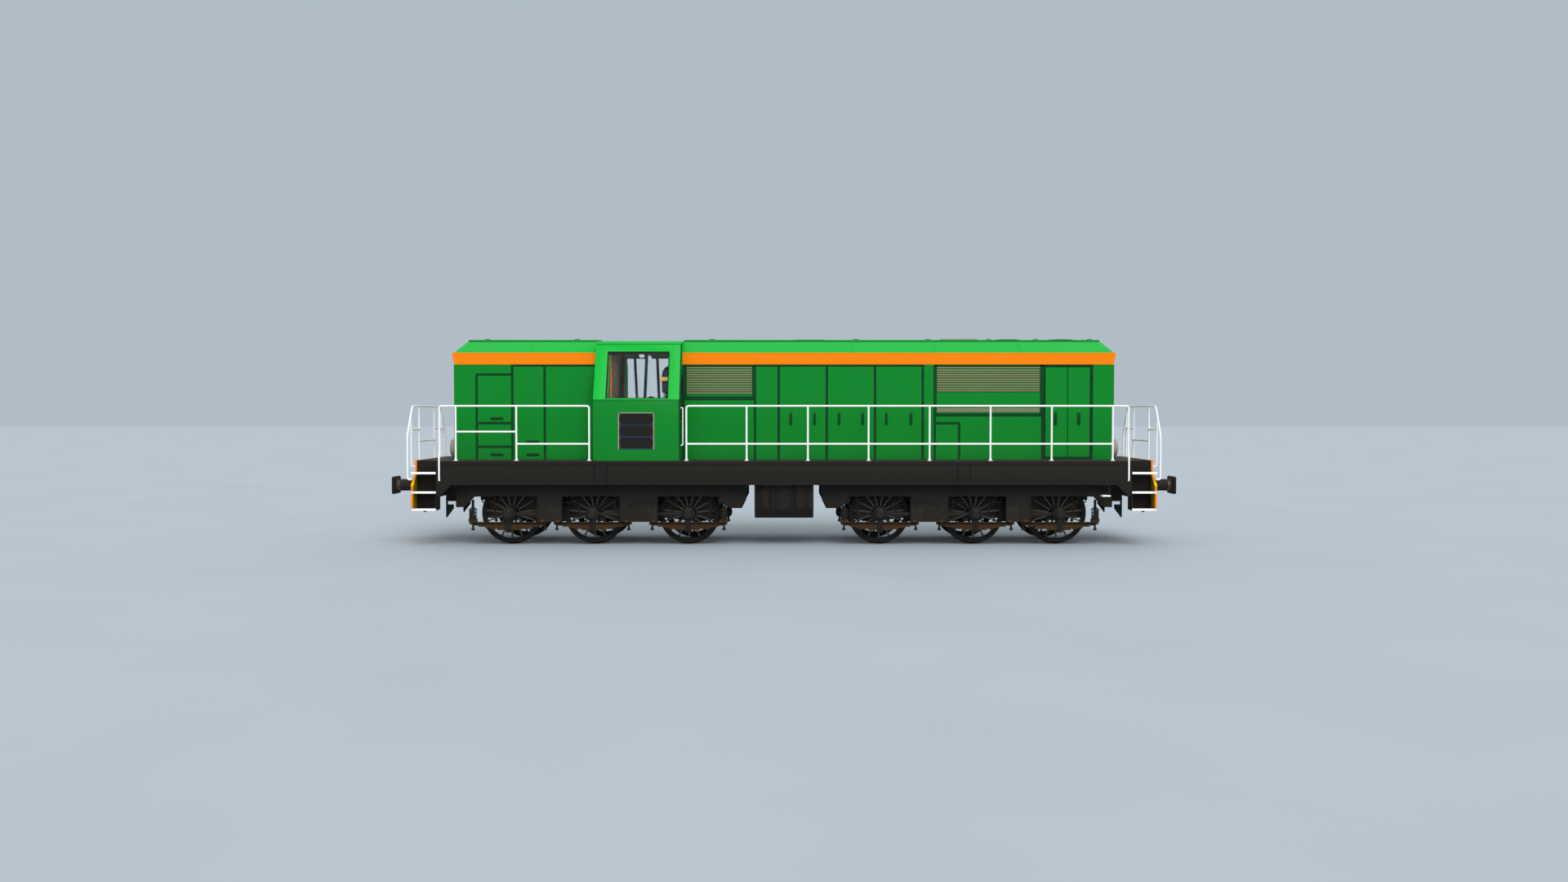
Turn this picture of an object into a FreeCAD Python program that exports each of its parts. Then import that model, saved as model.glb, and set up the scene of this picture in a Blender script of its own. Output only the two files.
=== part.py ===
"""Six-axle diesel locomotive: a cab between a short and a long hood, on two three-axle bogies.

+X points to the long hood's end, +Y to the left of travel that way, +Z up.  End "a" is at -X and
end "b" at +X.  Heights in this file are above the rail head; every solid is raised by the flange
depth as it is written, so that the wheel flanges stand on z = 0.  All lengths are millimetres.
"""
import FreeCAD
import Part
import math
import os

V = FreeCAD.Vector
PARTS = "parts"

# ---- driving dimensions ---------------------------------------------------------------------
OVER_BUFFERS = 17000.0          # face to face
BODY_HALF_WIDTH = 1500.0        # side sills and lower cab walls
DECK_TOP = 1820.0               # walkway
SILL_BOTTOM = 1300.0
HOOD_END = 7170.0               # both hoods end this far from mid-length
HOOD_HALF_WIDTH = 940.0
HOOD_WALL_TOP = 4150.0
BAND_HEIGHT = 260.0             # orange band under the roof
ROOF_TOP = 4410.0
ROOF_HALF_WIDTH = 450.0
COVER_RISE = 45.0
COVER_HALF_WIDTH = 350.0
ROOF_HIP = 165.0                # the roof's free end slopes in by this much
CAB_A = -4070.0                 # cab end walls' outer faces
CAB_B = -2210.0
CAB_WAIST = 3120.0
CAB_FLOOR = DECK_TOP + 40
CAB_EAVES = 4380.0
CAB_EAVES_HALF_WIDTH = 1000.0
WALL = 40.0                     # hood walls, with their frames
CAB_WALL = 50.0
FLANGE_DEPTH = 30.0
TREAD_RADIUS = 645.0
AXLES = (2080.0, 4150.0, 5970.0)    # from mid-length, both ways
PIVOT = 4025.0
RAIL_TUBE = 20.0                # handrail radius
RAIL_Y = 1475.0
RAIL_TOP = 2990.0
GAP = 6.0                       # round door leaves
TUBE_SIDES = 6


# ---- shape helpers --------------------------------------------------------------------------
def box(x, y, z):
    """A box from three (low, high) pairs."""
    return Part.makeBox(x[1] - x[0], y[1] - y[0], z[1] - z[0], V(x[0], y[0], z[0]))


def spot(axis, level, a, b):
    """The point at a level along an axis; a and b are its other two coordinates, in order."""
    return {"X": V(level, a, b), "Y": V(a, level, b), "Z": V(a, b, level)}[axis]


def prism(axis, outline, low, high):
    """An outline in the plane across the axis, in X, Y, Z order, drawn out from low to high."""
    points = [spot(axis, low, a, b) for a, b in outline]
    face = Part.Face(Part.makePolygon(points + points[:1]))
    return face.extrude(spot(axis, high - low, 0, 0))


def ring_points(radius, sides):
    """Corners of a regular outline whose flats lie on the radius, with one flat at the bottom."""
    reach = radius / math.cos(math.pi / sides)
    turns = [math.pi * (2 * i + 1) / sides - math.pi / 2 for i in range(sides)]
    return [(reach * math.cos(t), reach * math.sin(t)) for t in turns]


def drum(axis, centre, radius, low, high, sides):
    """A many-sided drum along an axis; centre holds the other two coordinates, in order."""
    outline = [(centre[0] + a, centre[1] + b) for a, b in ring_points(radius, sides)]
    return prism(axis, outline, low, high)


def taper(axis, centre, radii, low, high, sides):
    """A many-sided cone with flat faces, from radii[0] at low to radii[1] at high."""
    rings = []
    for radius, level in zip(radii, (low, high)):
        ring = [(centre[0] + a, centre[1] + b) for a, b in ring_points(radius, sides)]
        rings.append([spot(axis, level, a, b) for a, b in ring])
    faces = [Part.Face(Part.makePolygon(ring + ring[:1])) for ring in rings]
    for i in range(sides):
        j = (i + 1) % sides
        corners = [rings[0][i], rings[0][j], rings[1][j], rings[1][i]]
        faces.append(Part.Face(Part.makePolygon(corners + corners[:1])))
    solid = Part.Solid(Part.Shell(faces))
    solid.fix(1e-4, 1e-4, 1e-4)
    return solid if solid.Volume > 0 else solid.reversed()


def tube(start, end, corners="", radius=RAIL_TUBE, sides=TUBE_SIDES):
    """A straight tube between two points; corners names the ends ("start", "end" or "both") that
    run on by the tube's radius, to close a corner with the next tube."""
    run = end - start
    along = V(run)
    along.normalize()
    low = -radius if corners in ("start", "both") else 0.0
    high = radius if corners in ("end", "both") else 0.0
    shape = drum("Z", (0, 0), radius, low, run.Length + high, sides)
    shape.Placement = FreeCAD.Placement(start, FreeCAD.Rotation(V(0, 0, 1), along))
    return shape


def mirror_x(shape):
    return shape.mirror(V(0, 0, 0), V(1, 0, 0))


def mirror_y(shape):
    return shape.mirror(V(0, 0, 0), V(0, 1, 0))


def fuse(shapes):
    return shapes[0].multiFuse(shapes[1:]).removeSplitter()


def group(shapes):
    """One node of solids that don't touch."""
    return Part.makeCompound([solid for shape in shapes for solid in shape.Solids])


def both_sides(shapes):
    return shapes + [mirror_y(s) for s in shapes]


def save(node, shape):
    """Raise the shape off its flanges and write it as one node."""
    raised = shape.translated(V(0, 0, FLANGE_DEPTH))
    assert raised.isValid(), node
    raised.exportStep(os.path.join(PARTS, node + ".step"))
    facets = len(raised.tessellate(0.5)[1])
    print(f"{node:24s} solids {len(raised.Solids):3d}  litres {raised.Volume / 1e6:9.1f}  facets {facets}")
    return facets


# ---- underframe -----------------------------------------------------------------------------
DECK_THICK = 40.0
SILL_THICK = 100.0
SILL_CORNER = (7110.0, 1040.0)  # from this far out the sill deepens to this height
STEP_RECESS = 7430.0            # the steps stand between here and the headstock
HEADSTOCK_X = 7920.0            # inner face
HEADSTOCK_THICK = 40.0
NARROW_HALF = 1200.0            # deck and headstock beside the steps
STEP_BOTTOM = 766.0
BOLSTER_HALF = 225.0
PAD_RADIUS = 260.0
PAD_GAP = 3.0
KING_PIN_RADIUS = 110.0
KING_PIN_BOTTOM = 1060.0
BOGIE_TOP = 1225.0
CROSS_X = (950.0, 2500.0, 6750.0)     # plain cross members, both ways from mid-length
CROSS_HALF = 30.0
CROSS_BOTTOM = 1400.0
END_PLATE = 40.0
IRON_Y = (700.0, 730.0)         # guard irons ahead of the outer wheels
IRON_TOP = 1180.0
SHOULDER_Z = (1290.0, 1560.0)   # the headstock's slanted shoulders
HEADSTOCK_BOTTOM = 970.0        # between the steps


def deck():
    """Walkway plate, narrower beside the steps."""
    level = (DECK_TOP - DECK_THICK, DECK_TOP)
    wide = box((-STEP_RECESS, STEP_RECESS), (-BODY_HALF_WIDTH, BODY_HALF_WIDTH), level)
    return fuse([wide, box((-HEADSTOCK_X, HEADSTOCK_X), (-NARROW_HALF, NARROW_HALF), level)])


def side_sill():
    """Deep plate girder on the right, with a deeper corner where it meets each end plate."""
    end, top = STEP_RECESS - END_PLATE, DECK_TOP - DECK_THICK
    start, low = SILL_CORNER
    outline = [(-end, top), (end, top), (end, low), (start, SILL_BOTTOM), (-start, SILL_BOTTOM), (-end, low)]
    return prism("Y", outline, -BODY_HALF_WIDTH, SILL_THICK - BODY_HALF_WIDTH)


def cross_members():
    """Plain cross members, with a wider one over each bogie."""
    inside, top = BODY_HALF_WIDTH - SILL_THICK, DECK_TOP - DECK_THICK
    members = []
    for x, half in [(x, CROSS_HALF) for x in CROSS_X] + [(PIVOT, BOLSTER_HALF)]:
        for centre in (-x, x):
            members.append(box((centre - half, centre + half), (-inside, inside), (CROSS_BOTTOM, top)))
    return group(members)


def centre_bearing():
    """Bearing pad and king pin of bogie b."""
    pad = drum("Z", (PIVOT, 0), PAD_RADIUS, BOGIE_TOP + PAD_GAP, CROSS_BOTTOM, 12)
    return pad.fuse(drum("Z", (PIVOT, 0), KING_PIN_RADIUS, KING_PIN_BOTTOM, BOGIE_TOP + PAD_GAP, 12))


def end_frame():
    """Cross plate of end b with the guard irons, and the plates behind the steps."""
    top, back = DECK_TOP - DECK_THICK, STEP_RECESS - END_PLATE
    pieces = [box((back, STEP_RECESS), (-BODY_HALF_WIDTH, BODY_HALF_WIDTH), (SILL_CORNER[1], top))]
    pieces += both_sides([box((STEP_RECESS, HEADSTOCK_X), (NARROW_HALF - END_PLATE, NARROW_HALF),
                              (STEP_BOTTOM, top))])
    iron = [(back, IRON_TOP), (back, 830), (7260, 830), (7260, 740), (7420, 530), (STEP_RECESS, 560),
            (STEP_RECESS, IRON_TOP)]
    pieces += both_sides([prism("Y", iron, *IRON_Y)])
    return fuse(pieces)


def headstock():
    """End plate with slanted shoulders and a leg outside each set of steps."""
    half = [(0, DECK_TOP), (NARROW_HALF, DECK_TOP), (NARROW_HALF, SHOULDER_Z[1]),
            (BODY_HALF_WIDTH, SHOULDER_Z[0]), (BODY_HALF_WIDTH, STEP_BOTTOM), (NARROW_HALF, STEP_BOTTOM),
            (NARROW_HALF, HEADSTOCK_BOTTOM), (0, HEADSTOCK_BOTTOM)]
    return prism("X", half + flip(half[1:-1])[::-1], HEADSTOCK_X, HEADSTOCK_X + HEADSTOCK_THICK)


TREADS = (1572.0, 1158.0, 790.0)    # tread tops
TREAD_THICK = 35.0
TREAD_EDGE = 20.0               # the treads stand back this far from the body's side
STEP_PLATE = 20.0


def steps():
    """The two sets of steps at end b: a side plate and three treads each."""
    across = (NARROW_HALF, BODY_HALF_WIDTH - TREAD_EDGE)
    sets = [box((STEP_RECESS, HEADSTOCK_X), across, (tread - TREAD_THICK, tread)) for tread in TREADS]
    level = (TREADS[-1] - TREAD_THICK, SILL_CORNER[1])
    sets.append(box((STEP_RECESS, STEP_RECESS + STEP_PLATE), across, level))
    return group(both_sides([fuse(sets)]))


TANK_HALF_LENGTH = 635.0
TANK_HALF_WIDTH = 1340.0
TANK_BOTTOM = 570.0
TANK_CUT = 210.0                # its lower edges are cut off at 45 degrees
TANK_RIBS = (-480.0, -160.0, 160.0, 480.0)
RIB_HALF = 15.0
RIB_PROUD = 25.0


def fuel_tank():
    """Tank under the middle, cut up along its lower edges, with ribs on its sides."""
    half, cut, low = TANK_HALF_WIDTH, TANK_CUT, TANK_BOTTOM
    section = [(-half, CROSS_BOTTOM), (half, CROSS_BOTTOM), (half, low + cut), (half - cut, low),
               (cut - half, low), (-half, low + cut)]
    ribs = [box((x - RIB_HALF, x + RIB_HALF), (half, half + RIB_PROUD), (low + cut, CROSS_BOTTOM))
            for x in TANK_RIBS]
    return fuse([prism("X", section, -TANK_HALF_LENGTH, TANK_HALF_LENGTH)] + both_sides(ribs))


# ---- hoods ----------------------------------------------------------------------------------
SHORT = (-HOOD_END, CAB_A)      # X from, to
LONG = (CAB_B, HOOD_END)
DOOR_X = (5660.0, 6680.0)       # double doors of the long hood
DOOR_Z = (1870.0, 3860.0)
LOUVRES = (                     # X from, X to, Z from, Z to, slats
    (-2120.0, -690.0, 3200.0, 3860.0, 12),
    (3320.0, 5570.0, 2830.0, 2970.0, 3),
    (3320.0, 5570.0, 3250.0, 3860.0, 11),
)


def hood_walls(span):
    """Open-topped box of four walls up to the orange band."""
    outer = box(span, (-HOOD_HALF_WIDTH, HOOD_HALF_WIDTH), (DECK_TOP, HOOD_WALL_TOP - BAND_HEIGHT))
    inner = box((span[0] + WALL, span[1] - WALL), (WALL - HOOD_HALF_WIDTH, HOOD_HALF_WIDTH - WALL),
                (DECK_TOP, HOOD_WALL_TOP - BAND_HEIGHT))
    return outer.cut(inner)


def long_hood():
    walls = hood_walls(LONG)
    holes = [box(DOOR_X, (-2000, 2000), DOOR_Z)]
    holes += [box((x0, x1), (-2000, 2000), (z0, z1)) for x0, x1, z0, z1, _ in LOUVRES]
    return walls.cut(holes[0].multiFuse(holes[1:]))


LOUVRE_RIM = 30.0
BLADE_STEP = 12.0
BLADE_DEPTH = 22.0
BLADE_BACK = 8.0                # thickness behind the blades


def louvre(x0, x1, z0, z1, slats):
    """A frame with sloping blades, in the wall on the right-hand side."""
    low, high = z0 + LOUVRE_RIM, z1 - LOUVRE_RIM
    face, pitch = -HOOD_HALF_WIDTH, (high - low) / slats
    outline = [(face + WALL, z0), (face, z0)]
    for i in range(slats):
        step = low + i * pitch + BLADE_STEP
        outline += [(face, step), (face + BLADE_DEPTH, step), (face, low + (i + 1) * pitch)]
    outline += [(face, z1), (face + WALL, z1)]
    hollow = box((x0 + LOUVRE_RIM, x1 - LOUVRE_RIM), (face + BLADE_DEPTH + BLADE_BACK, 0), (low, high))
    return prism("X", outline, x0, x1).cut(hollow)


def hood_door(leaf):
    """Leaf 0 is hinged at its low X edge, leaf 1 at its high X edge, on the right-hand side."""
    middle = sum(DOOR_X) / 2
    spans = ((DOOR_X[0] + GAP, middle - GAP / 2), (middle + GAP / 2, DOOR_X[1] - GAP))
    low, high = spans[leaf]
    plate = box((low, high), (-HOOD_HALF_WIDTH, WALL - HOOD_HALF_WIDTH), (DOOR_Z[0] + GAP, DOOR_Z[1] - GAP))
    grip_x = (low + high) / 2
    grip = box((grip_x - 12, grip_x + 12), (-HOOD_HALF_WIDTH - 30, -HOOD_HALF_WIDTH), (2585, 2850))
    return fuse([plate, grip])


def hood_band(span, flare):
    """Orange band; it flares out at the hood's free end like an eyebrow."""
    z0, z1 = HOOD_WALL_TOP - BAND_HEIGHT, HOOD_WALL_TOP
    outer = box(span, (-HOOD_HALF_WIDTH, HOOD_HALF_WIDTH), (z0, z1))
    inner = box((span[0] + WALL, span[1] - WALL), (WALL - HOOD_HALF_WIDTH, HOOD_HALF_WIDTH - WALL), (z0, z1))
    end = span[0] if flare < 0 else span[1]
    brow = [(end, z0), (end + flare * 50, z1 - 20), (end + flare * 50, z1), (end, z1)]
    return fuse([outer.cut(inner), prism("Y", brow, -HOOD_HALF_WIDTH, HOOD_HALF_WIDTH)])


def hood_roof(span, way):
    """Sloping roof sides under a raised flat cover; the free end slopes in like a hipped roof."""
    section = [(-HOOD_HALF_WIDTH, HOOD_WALL_TOP), (HOOD_HALF_WIDTH, HOOD_WALL_TOP),
               (ROOF_HALF_WIDTH, ROOF_TOP), (-ROOF_HALF_WIDTH, ROOF_TOP)]
    foot, crest = HOOD_HALF_WIDTH - 2 * WALL, ROOF_HALF_WIDTH - WALL / 2
    inside = [(-foot, HOOD_WALL_TOP), (foot, HOOD_WALL_TOP), (crest, ROOF_TOP - WALL),
              (-crest, ROOF_TOP - WALL)]
    low, high = (span[0] + ROOF_HIP, span[1]) if way < 0 else (span[0], span[1] - ROOF_HIP)
    shell = prism("X", section, *span).cut(prism("X", inside, low + WALL, high - WALL))
    end = way * HOOD_END
    hip = [(end, HOOD_WALL_TOP), (end - way * ROOF_HIP, ROOF_TOP), (end, ROOF_TOP)]
    shell = shell.cut(prism("Y", hip, -HOOD_HALF_WIDTH, HOOD_HALF_WIDTH))
    cover = box((low, high), (-COVER_HALF_WIDTH, COVER_HALF_WIDTH), (ROOF_TOP, ROOF_TOP + COVER_RISE))
    return fuse([shell, cover])


# ---- cab ------------------------------------------------------------------------------------
LEAN = (BODY_HALF_WIDTH - CAB_EAVES_HALF_WIDTH) / (CAB_EAVES - CAB_WAIST)
SIDE_WINDOW = ((-3800.0, -2480.0), (3150.0, 4160.0))    # X, Z
CAB_DOOR = (985.0, 1430.0, 1870.0, 3800.0)              # |Y| from hinge, |Y| to, Z from, Z to


def cab_half_width(z):
    return BODY_HALF_WIDTH - LEAN * max(0.0, z - CAB_WAIST)


def cab_door_outline(grow):
    """Leaf outline in Y, Z, its outer edge following the lean of the cab side; grow widens it."""
    y0, y1, z0, z1 = CAB_DOOR
    margin = BODY_HALF_WIDTH - y1
    knee = CAB_WAIST + 30
    top = cab_half_width(z1) - margin
    return [(y0 - grow, z0 - grow), (y1 + grow, z0 - grow), (y1 + grow, knee),
            (top + grow, z1 + grow), (y0 - grow, z1 + grow)]


def end_window_outline():
    """Glazed part of the door leaf, and of the wall where there is no door."""
    return [(1040, 2700), (1370, 2700), (1370, 3140), (1175, 3640), (1040, 3640)]


def flip(outline):
    """The outline on the other side of the centre line."""
    return [(-y, z) for y, z in outline]


def end_openings():
    """Doorways at two opposite corners, and windows at the other two."""
    def across(outline, x):
        return prism("X", outline, x - 100, x + 100)
    return [across(flip(cab_door_outline(GAP)), CAB_B), across(cab_door_outline(GAP), CAB_A),
            across(end_window_outline(), CAB_B), across(flip(end_window_outline()), CAB_A)]


def cab_lower():
    """Floor and walls up to the waist."""
    outer = box((CAB_A, CAB_B), (-BODY_HALF_WIDTH, BODY_HALF_WIDTH), (DECK_TOP, CAB_WAIST))
    inside = BODY_HALF_WIDTH - CAB_WALL
    inner = box((CAB_A + CAB_WALL, CAB_B - CAB_WALL), (-inside, inside), (CAB_FLOOR, CAB_WAIST))
    shell = outer.cut(inner)
    for opening in end_openings():
        shell = shell.cut(opening)
    return shell


def cab_upper():
    """Leaning sides with one wide window each, end walls and the roof."""
    half = [(BODY_HALF_WIDTH, CAB_WAIST), (CAB_EAVES_HALF_WIDTH, CAB_EAVES),
            (ROOF_HALF_WIDTH, ROOF_TOP + 20)]
    outer = prism("X", half + flip(half)[::-1], CAB_A, CAB_B)
    room = [(-BODY_HALF_WIDTH + CAB_WALL, CAB_WAIST), (BODY_HALF_WIDTH - CAB_WALL, CAB_WAIST),
            (CAB_EAVES_HALF_WIDTH - CAB_WALL - 15, CAB_EAVES - 20),
            (15 + CAB_WALL - CAB_EAVES_HALF_WIDTH, CAB_EAVES - 20)]
    shell = outer.cut(prism("X", room, CAB_A + CAB_WALL, CAB_B - CAB_WALL))
    (x0, x1), (z0, z1) = SIDE_WINDOW
    shell = shell.cut(box((x0, x1), (-2000, 2000), (z0, z1)))
    for opening in end_openings():
        shell = shell.cut(opening)
    return shell


def leaning_plate(x0, x1, z0, z1, inset, thick):
    """A plate parallel to the right-hand cab side, inset from its outer face."""
    outline = [(-cab_half_width(z0) + inset, z0), (-cab_half_width(z1) + inset, z1),
               (-cab_half_width(z1) + inset + thick, z1), (-cab_half_width(z0) + inset + thick, z0)]
    return prism("X", outline, x0, x1)


FRAME_BAR = 15.0                # at the side window's edges
FRAME_HEAD = 55.0               # its top bar
POST_X = (-3490.0, -2965.0)     # posts between its three panes
POST_HALF = 25.0
FRAME_INSET = 5.0
FRAME_THICK = 40.0
GLASS_INSET = 20.0
GLASS_THICK = 6.0


def window_frame():
    """Black frame of the side window, with two posts between its sliding panes."""
    (x0, x1), (z0, z1) = SIDE_WINDOW
    opening = leaning_plate(x0 + FRAME_BAR, x1 - FRAME_BAR, z0 + FRAME_BAR, z1 - FRAME_HEAD, -60, 200)
    bars = [leaning_plate(x0, x1, z0, z1, FRAME_INSET, FRAME_THICK).cut(opening)]
    bars += [leaning_plate(x - POST_HALF, x + POST_HALF, z0, z1, FRAME_INSET, FRAME_THICK) for x in POST_X]
    return fuse(bars)


def window_glass():
    """The side window's three panes."""
    (x0, x1), (z0, z1) = SIDE_WINDOW
    starts = [x0 + FRAME_BAR] + [x + POST_HALF for x in POST_X]
    stops = [x - POST_HALF for x in POST_X] + [x1 - FRAME_BAR]
    return [leaning_plate(low, high, z0 + FRAME_BAR, z1 - FRAME_HEAD, GLASS_INSET, GLASS_THICK)
            for low, high in zip(starts, stops)]


def cab_door(x_face, x_way):
    """A leaf in a cab end wall on the left-hand side, with its window cut and a grip."""
    low, high = sorted((x_face, x_face - x_way * CAB_WALL))
    leaf = prism("X", cab_door_outline(0), low, high)
    leaf = leaf.cut(prism("X", end_window_outline(), low - 50, high + 50))
    grip_low, grip_high = sorted((x_face, x_face + x_way * 28))
    return fuse([leaf, box((grip_low, grip_high), (1375, 1400), (2350, 2580))])


# ---- inside the cab and the long hood -------------------------------------------------------
PLATFORM_TOP = 2160.0           # the driver sits on a platform on the right
PLATFORM = ((-3600.0, -2300.0), (-1380.0, -470.0))      # X, Y
DESK = ((-3600, PLATFORM_TOP), (-3250, PLATFORM_TOP), (-3250, 2920), (-2980, 3000), (-2980, 3080),
        (-3300, 3100), (-3600, 3100))                   # outline in X, Z
SEAT_Y = (-950.0, -490.0)
SEAT_PAN = ((-3100.0, -2600.0), (2700.0, 2800.0))       # X, Z
SEAT_BACK = ((-2645, 2800), (-2500, 2800), (-2500, 3810), (-2545, 3860), (-2600, 3860), (-2645, 3810))
SEAT_COLUMN = 60.0


def control_desk():
    """Desk on the driver's platform, ahead of the seat."""
    return fuse([box(*PLATFORM, (CAB_FLOOR, PLATFORM_TOP)), prism("Y", list(DESK), *PLATFORM[1])])


def driver_seat():
    """High-backed seat on a column, facing the short hood."""
    along, level = SEAT_PAN
    centre = (sum(along) / 2, sum(SEAT_Y) / 2)
    return fuse([drum("Z", centre, SEAT_COLUMN, PLATFORM_TOP, level[0], 12), box(along, SEAT_Y, level),
                 prism("Y", list(SEAT_BACK), *SEAT_Y)])


def equipment_cabinet():
    x0 = CAB_A + CAB_WALL + 5
    return box((x0, x0 + 380), (-880, 880), (CAB_FLOOR, 4000))


def engine_block():
    """Engine and generator as one plain block on the frame."""
    return box((-900, 3100), (-520, 520), (DECK_TOP, 3350))


# ---- lamps, rails, buffers ------------------------------------------------------------------
LAMP_Y, LAMP_Z, LAMP_RADIUS = 620.0, 2070.0, 235.0


def end_lamps():
    """Headlamps of end b: two low on the hood's end and a small one under the band."""
    low = [taper("X", (y, LAMP_Z), (LAMP_RADIUS, 170), HOOD_END, HOOD_END + 150, 14)
           for y in (-LAMP_Y, LAMP_Y)]
    return low + [taper("X", (0, 3600), (140, 110), HOOD_END, HOOD_END + 90, 10)]


STAIR_POST_X = 7350.0
# side rail runs: stanchions' X from mid-length outwards, then (X from, X to, Z) of the middle bars
RUN_A = ((-4157.0, -5710.0, -7004.0), ((-4157.0, -5710.0, 2180.0), (-5710.0, -7004.0, 2440.0)))
RUN_B = ((-2083.0, -798.0, 509.0, 1804.0, 3106.0, 4405.0, 5710.0, 7014.0),
         ((-2083.0, 7014.0, 2180.0),))


def side_rail(run, stair_x):
    """Handrail along the right-hand walkway, out to the post beside the steps."""
    posts, bars = run
    y, out, grip_foot = -RAIL_Y, -RAIL_Y - 50, 1400.0
    pieces = [tube(V(x, y, DECK_TOP), V(x, y, RAIL_TOP)) for x in posts]
    pieces.append(tube(V(posts[0], y, RAIL_TOP), V(stair_x, y, RAIL_TOP), "both"))
    pieces += [tube(V(x0, y, z), V(x1, y, z)) for x0, x1, z in bars]
    pieces.append(tube(V(stair_x, y, RAIL_TOP), V(stair_x, y, 1990), "end"))
    pieces.append(tube(V(stair_x, y, 1990), V(stair_x, out, 1870), "both"))
    pieces.append(tube(V(stair_x, out, 1870), V(stair_x, out, grip_foot), "end"))
    pieces.append(tube(V(stair_x, out, grip_foot), V(stair_x, -BODY_HALF_WIDTH, grip_foot)))
    return fuse(pieces)


END_RAIL_X = 8050.0


def end_rail():
    """Railing across end b, with the bent grab posts at the steps."""
    x, plate = END_RAIL_X, HEADSTOCK_X + HEADSTOCK_THICK
    corner, bend, top_y = 1430.0, 2350.0, 1070.0
    half = [tube(V(x, corner, 1420), V(x, corner, bend), "both"),
            tube(V(x, corner, bend), V(x, top_y, RAIL_TOP), "end"),
            tube(V(x, corner, 1420), V(plate, corner, 1420)),
            tube(V(x, 1160, 1680), V(x, 1160, 2830), "start"),
            tube(V(x, 1160, 1680), V(plate, 1160, 1680)),
            tube(V(x, 580, 1740), V(x, 580, RAIL_TOP), "start"),
            tube(V(x, 580, 1740), V(plate, 580, 1740)),
            tube(V(x, 580, 2480), V(x, 1160, 2480))]
    across = [tube(V(x, -top_y, RAIL_TOP), V(x, top_y, RAIL_TOP), "both"),
              tube(V(x, -580, 2220), V(x, 580, 2220))]
    return fuse(both_sides(half) + across)


BUFFER_Y, BUFFER_Z = 875.0, 1270.0
BUFFER_FACE = OVER_BUFFERS / 2
HEAD_HALF = (240.0, 190.0)      # width, height
HEAD_CORNER = 70.0              # cut off its corners
HEAD_THICK = 60.0
BARREL_RADIUS = 130.0
BARREL_LENGTH = 250.0
PLUNGER_RADIUS = 110.0
BUFFER_SIDES = 12


def buffer():
    """Barrel, plunger and a wide head with cut corners, at end b on the left."""
    foot = HEADSTOCK_X + HEADSTOCK_THICK
    centre = (BUFFER_Y, BUFFER_Z)
    (wide, tall), cut = HEAD_HALF, HEAD_CORNER
    corners = [(wide, tall - cut), (wide - cut, tall), (cut - wide, tall), (-wide, tall - cut),
               (-wide, cut - tall), (cut - wide, -tall), (wide - cut, -tall), (wide, cut - tall)]
    back, front = BUFFER_FACE - HEAD_THICK, BUFFER_FACE
    head = prism("X", [(BUFFER_Y + y, BUFFER_Z + z) for y, z in corners], back, front)
    return fuse([drum("X", centre, BARREL_RADIUS, foot, foot + BARREL_LENGTH, BUFFER_SIDES),
                 drum("X", centre, PLUNGER_RADIUS, foot + BARREL_LENGTH, back, BUFFER_SIDES), head])


HOOK_Z = 1160.0
HOOK_HALF = 30.0                # thickness
SHANK_HALF = 45.0               # height
SHANK_LENGTH = 170.0
HOOK_PLATE = (25.0, 150.0, 120.0)       # thickness, half-width, half-height
BEAK = ((170, -60), (170, 45), (230, 45), (225, -5), (265, -5), (290, 70), (330, 60), (320, -40),
        (280, -75))             # outline: out from the headstock, up from the shank's middle


def draw_hook():
    """Hook with its guide plate, at end b."""
    foot = HEADSTOCK_X + HEADSTOCK_THICK
    thick, wide, tall = HOOK_PLATE
    plate = box((foot, foot + thick), (-wide, wide), (HOOK_Z - tall, HOOK_Z + tall))
    across = (-HOOK_HALF, HOOK_HALF)
    shank = box((foot, foot + SHANK_LENGTH), across, (HOOK_Z - SHANK_HALF, HOOK_Z + SHANK_HALF))
    beak = [(foot + out, HOOK_Z + up) for out, up in BEAK]
    return fuse([plate, shank, prism("Y", beak, *across)])


# ---- bogies ---------------------------------------------------------------------------------
BEAM_Y = (990.0, 1150.0)
BEAM_BOTTOM = 1030.0
BOGIE_ENDS = (820.0, 7100.0)        # from mid-length
PEDESTALS = ((2735.0, 3560.0), (4804.0, 5352.0))
PEDESTAL_BOTTOM = 480.0
SANDBOX_BOTTOM = 780.0
TRANSOM_HALF = 150.0
TRANSOM_Z = (900.0, 1180.0)
END_TRANSOM_BOTTOM = 960.0
BOLSTER_HALF_WIDTH = 330.0
PIN_CLEARANCE = 6.0


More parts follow.
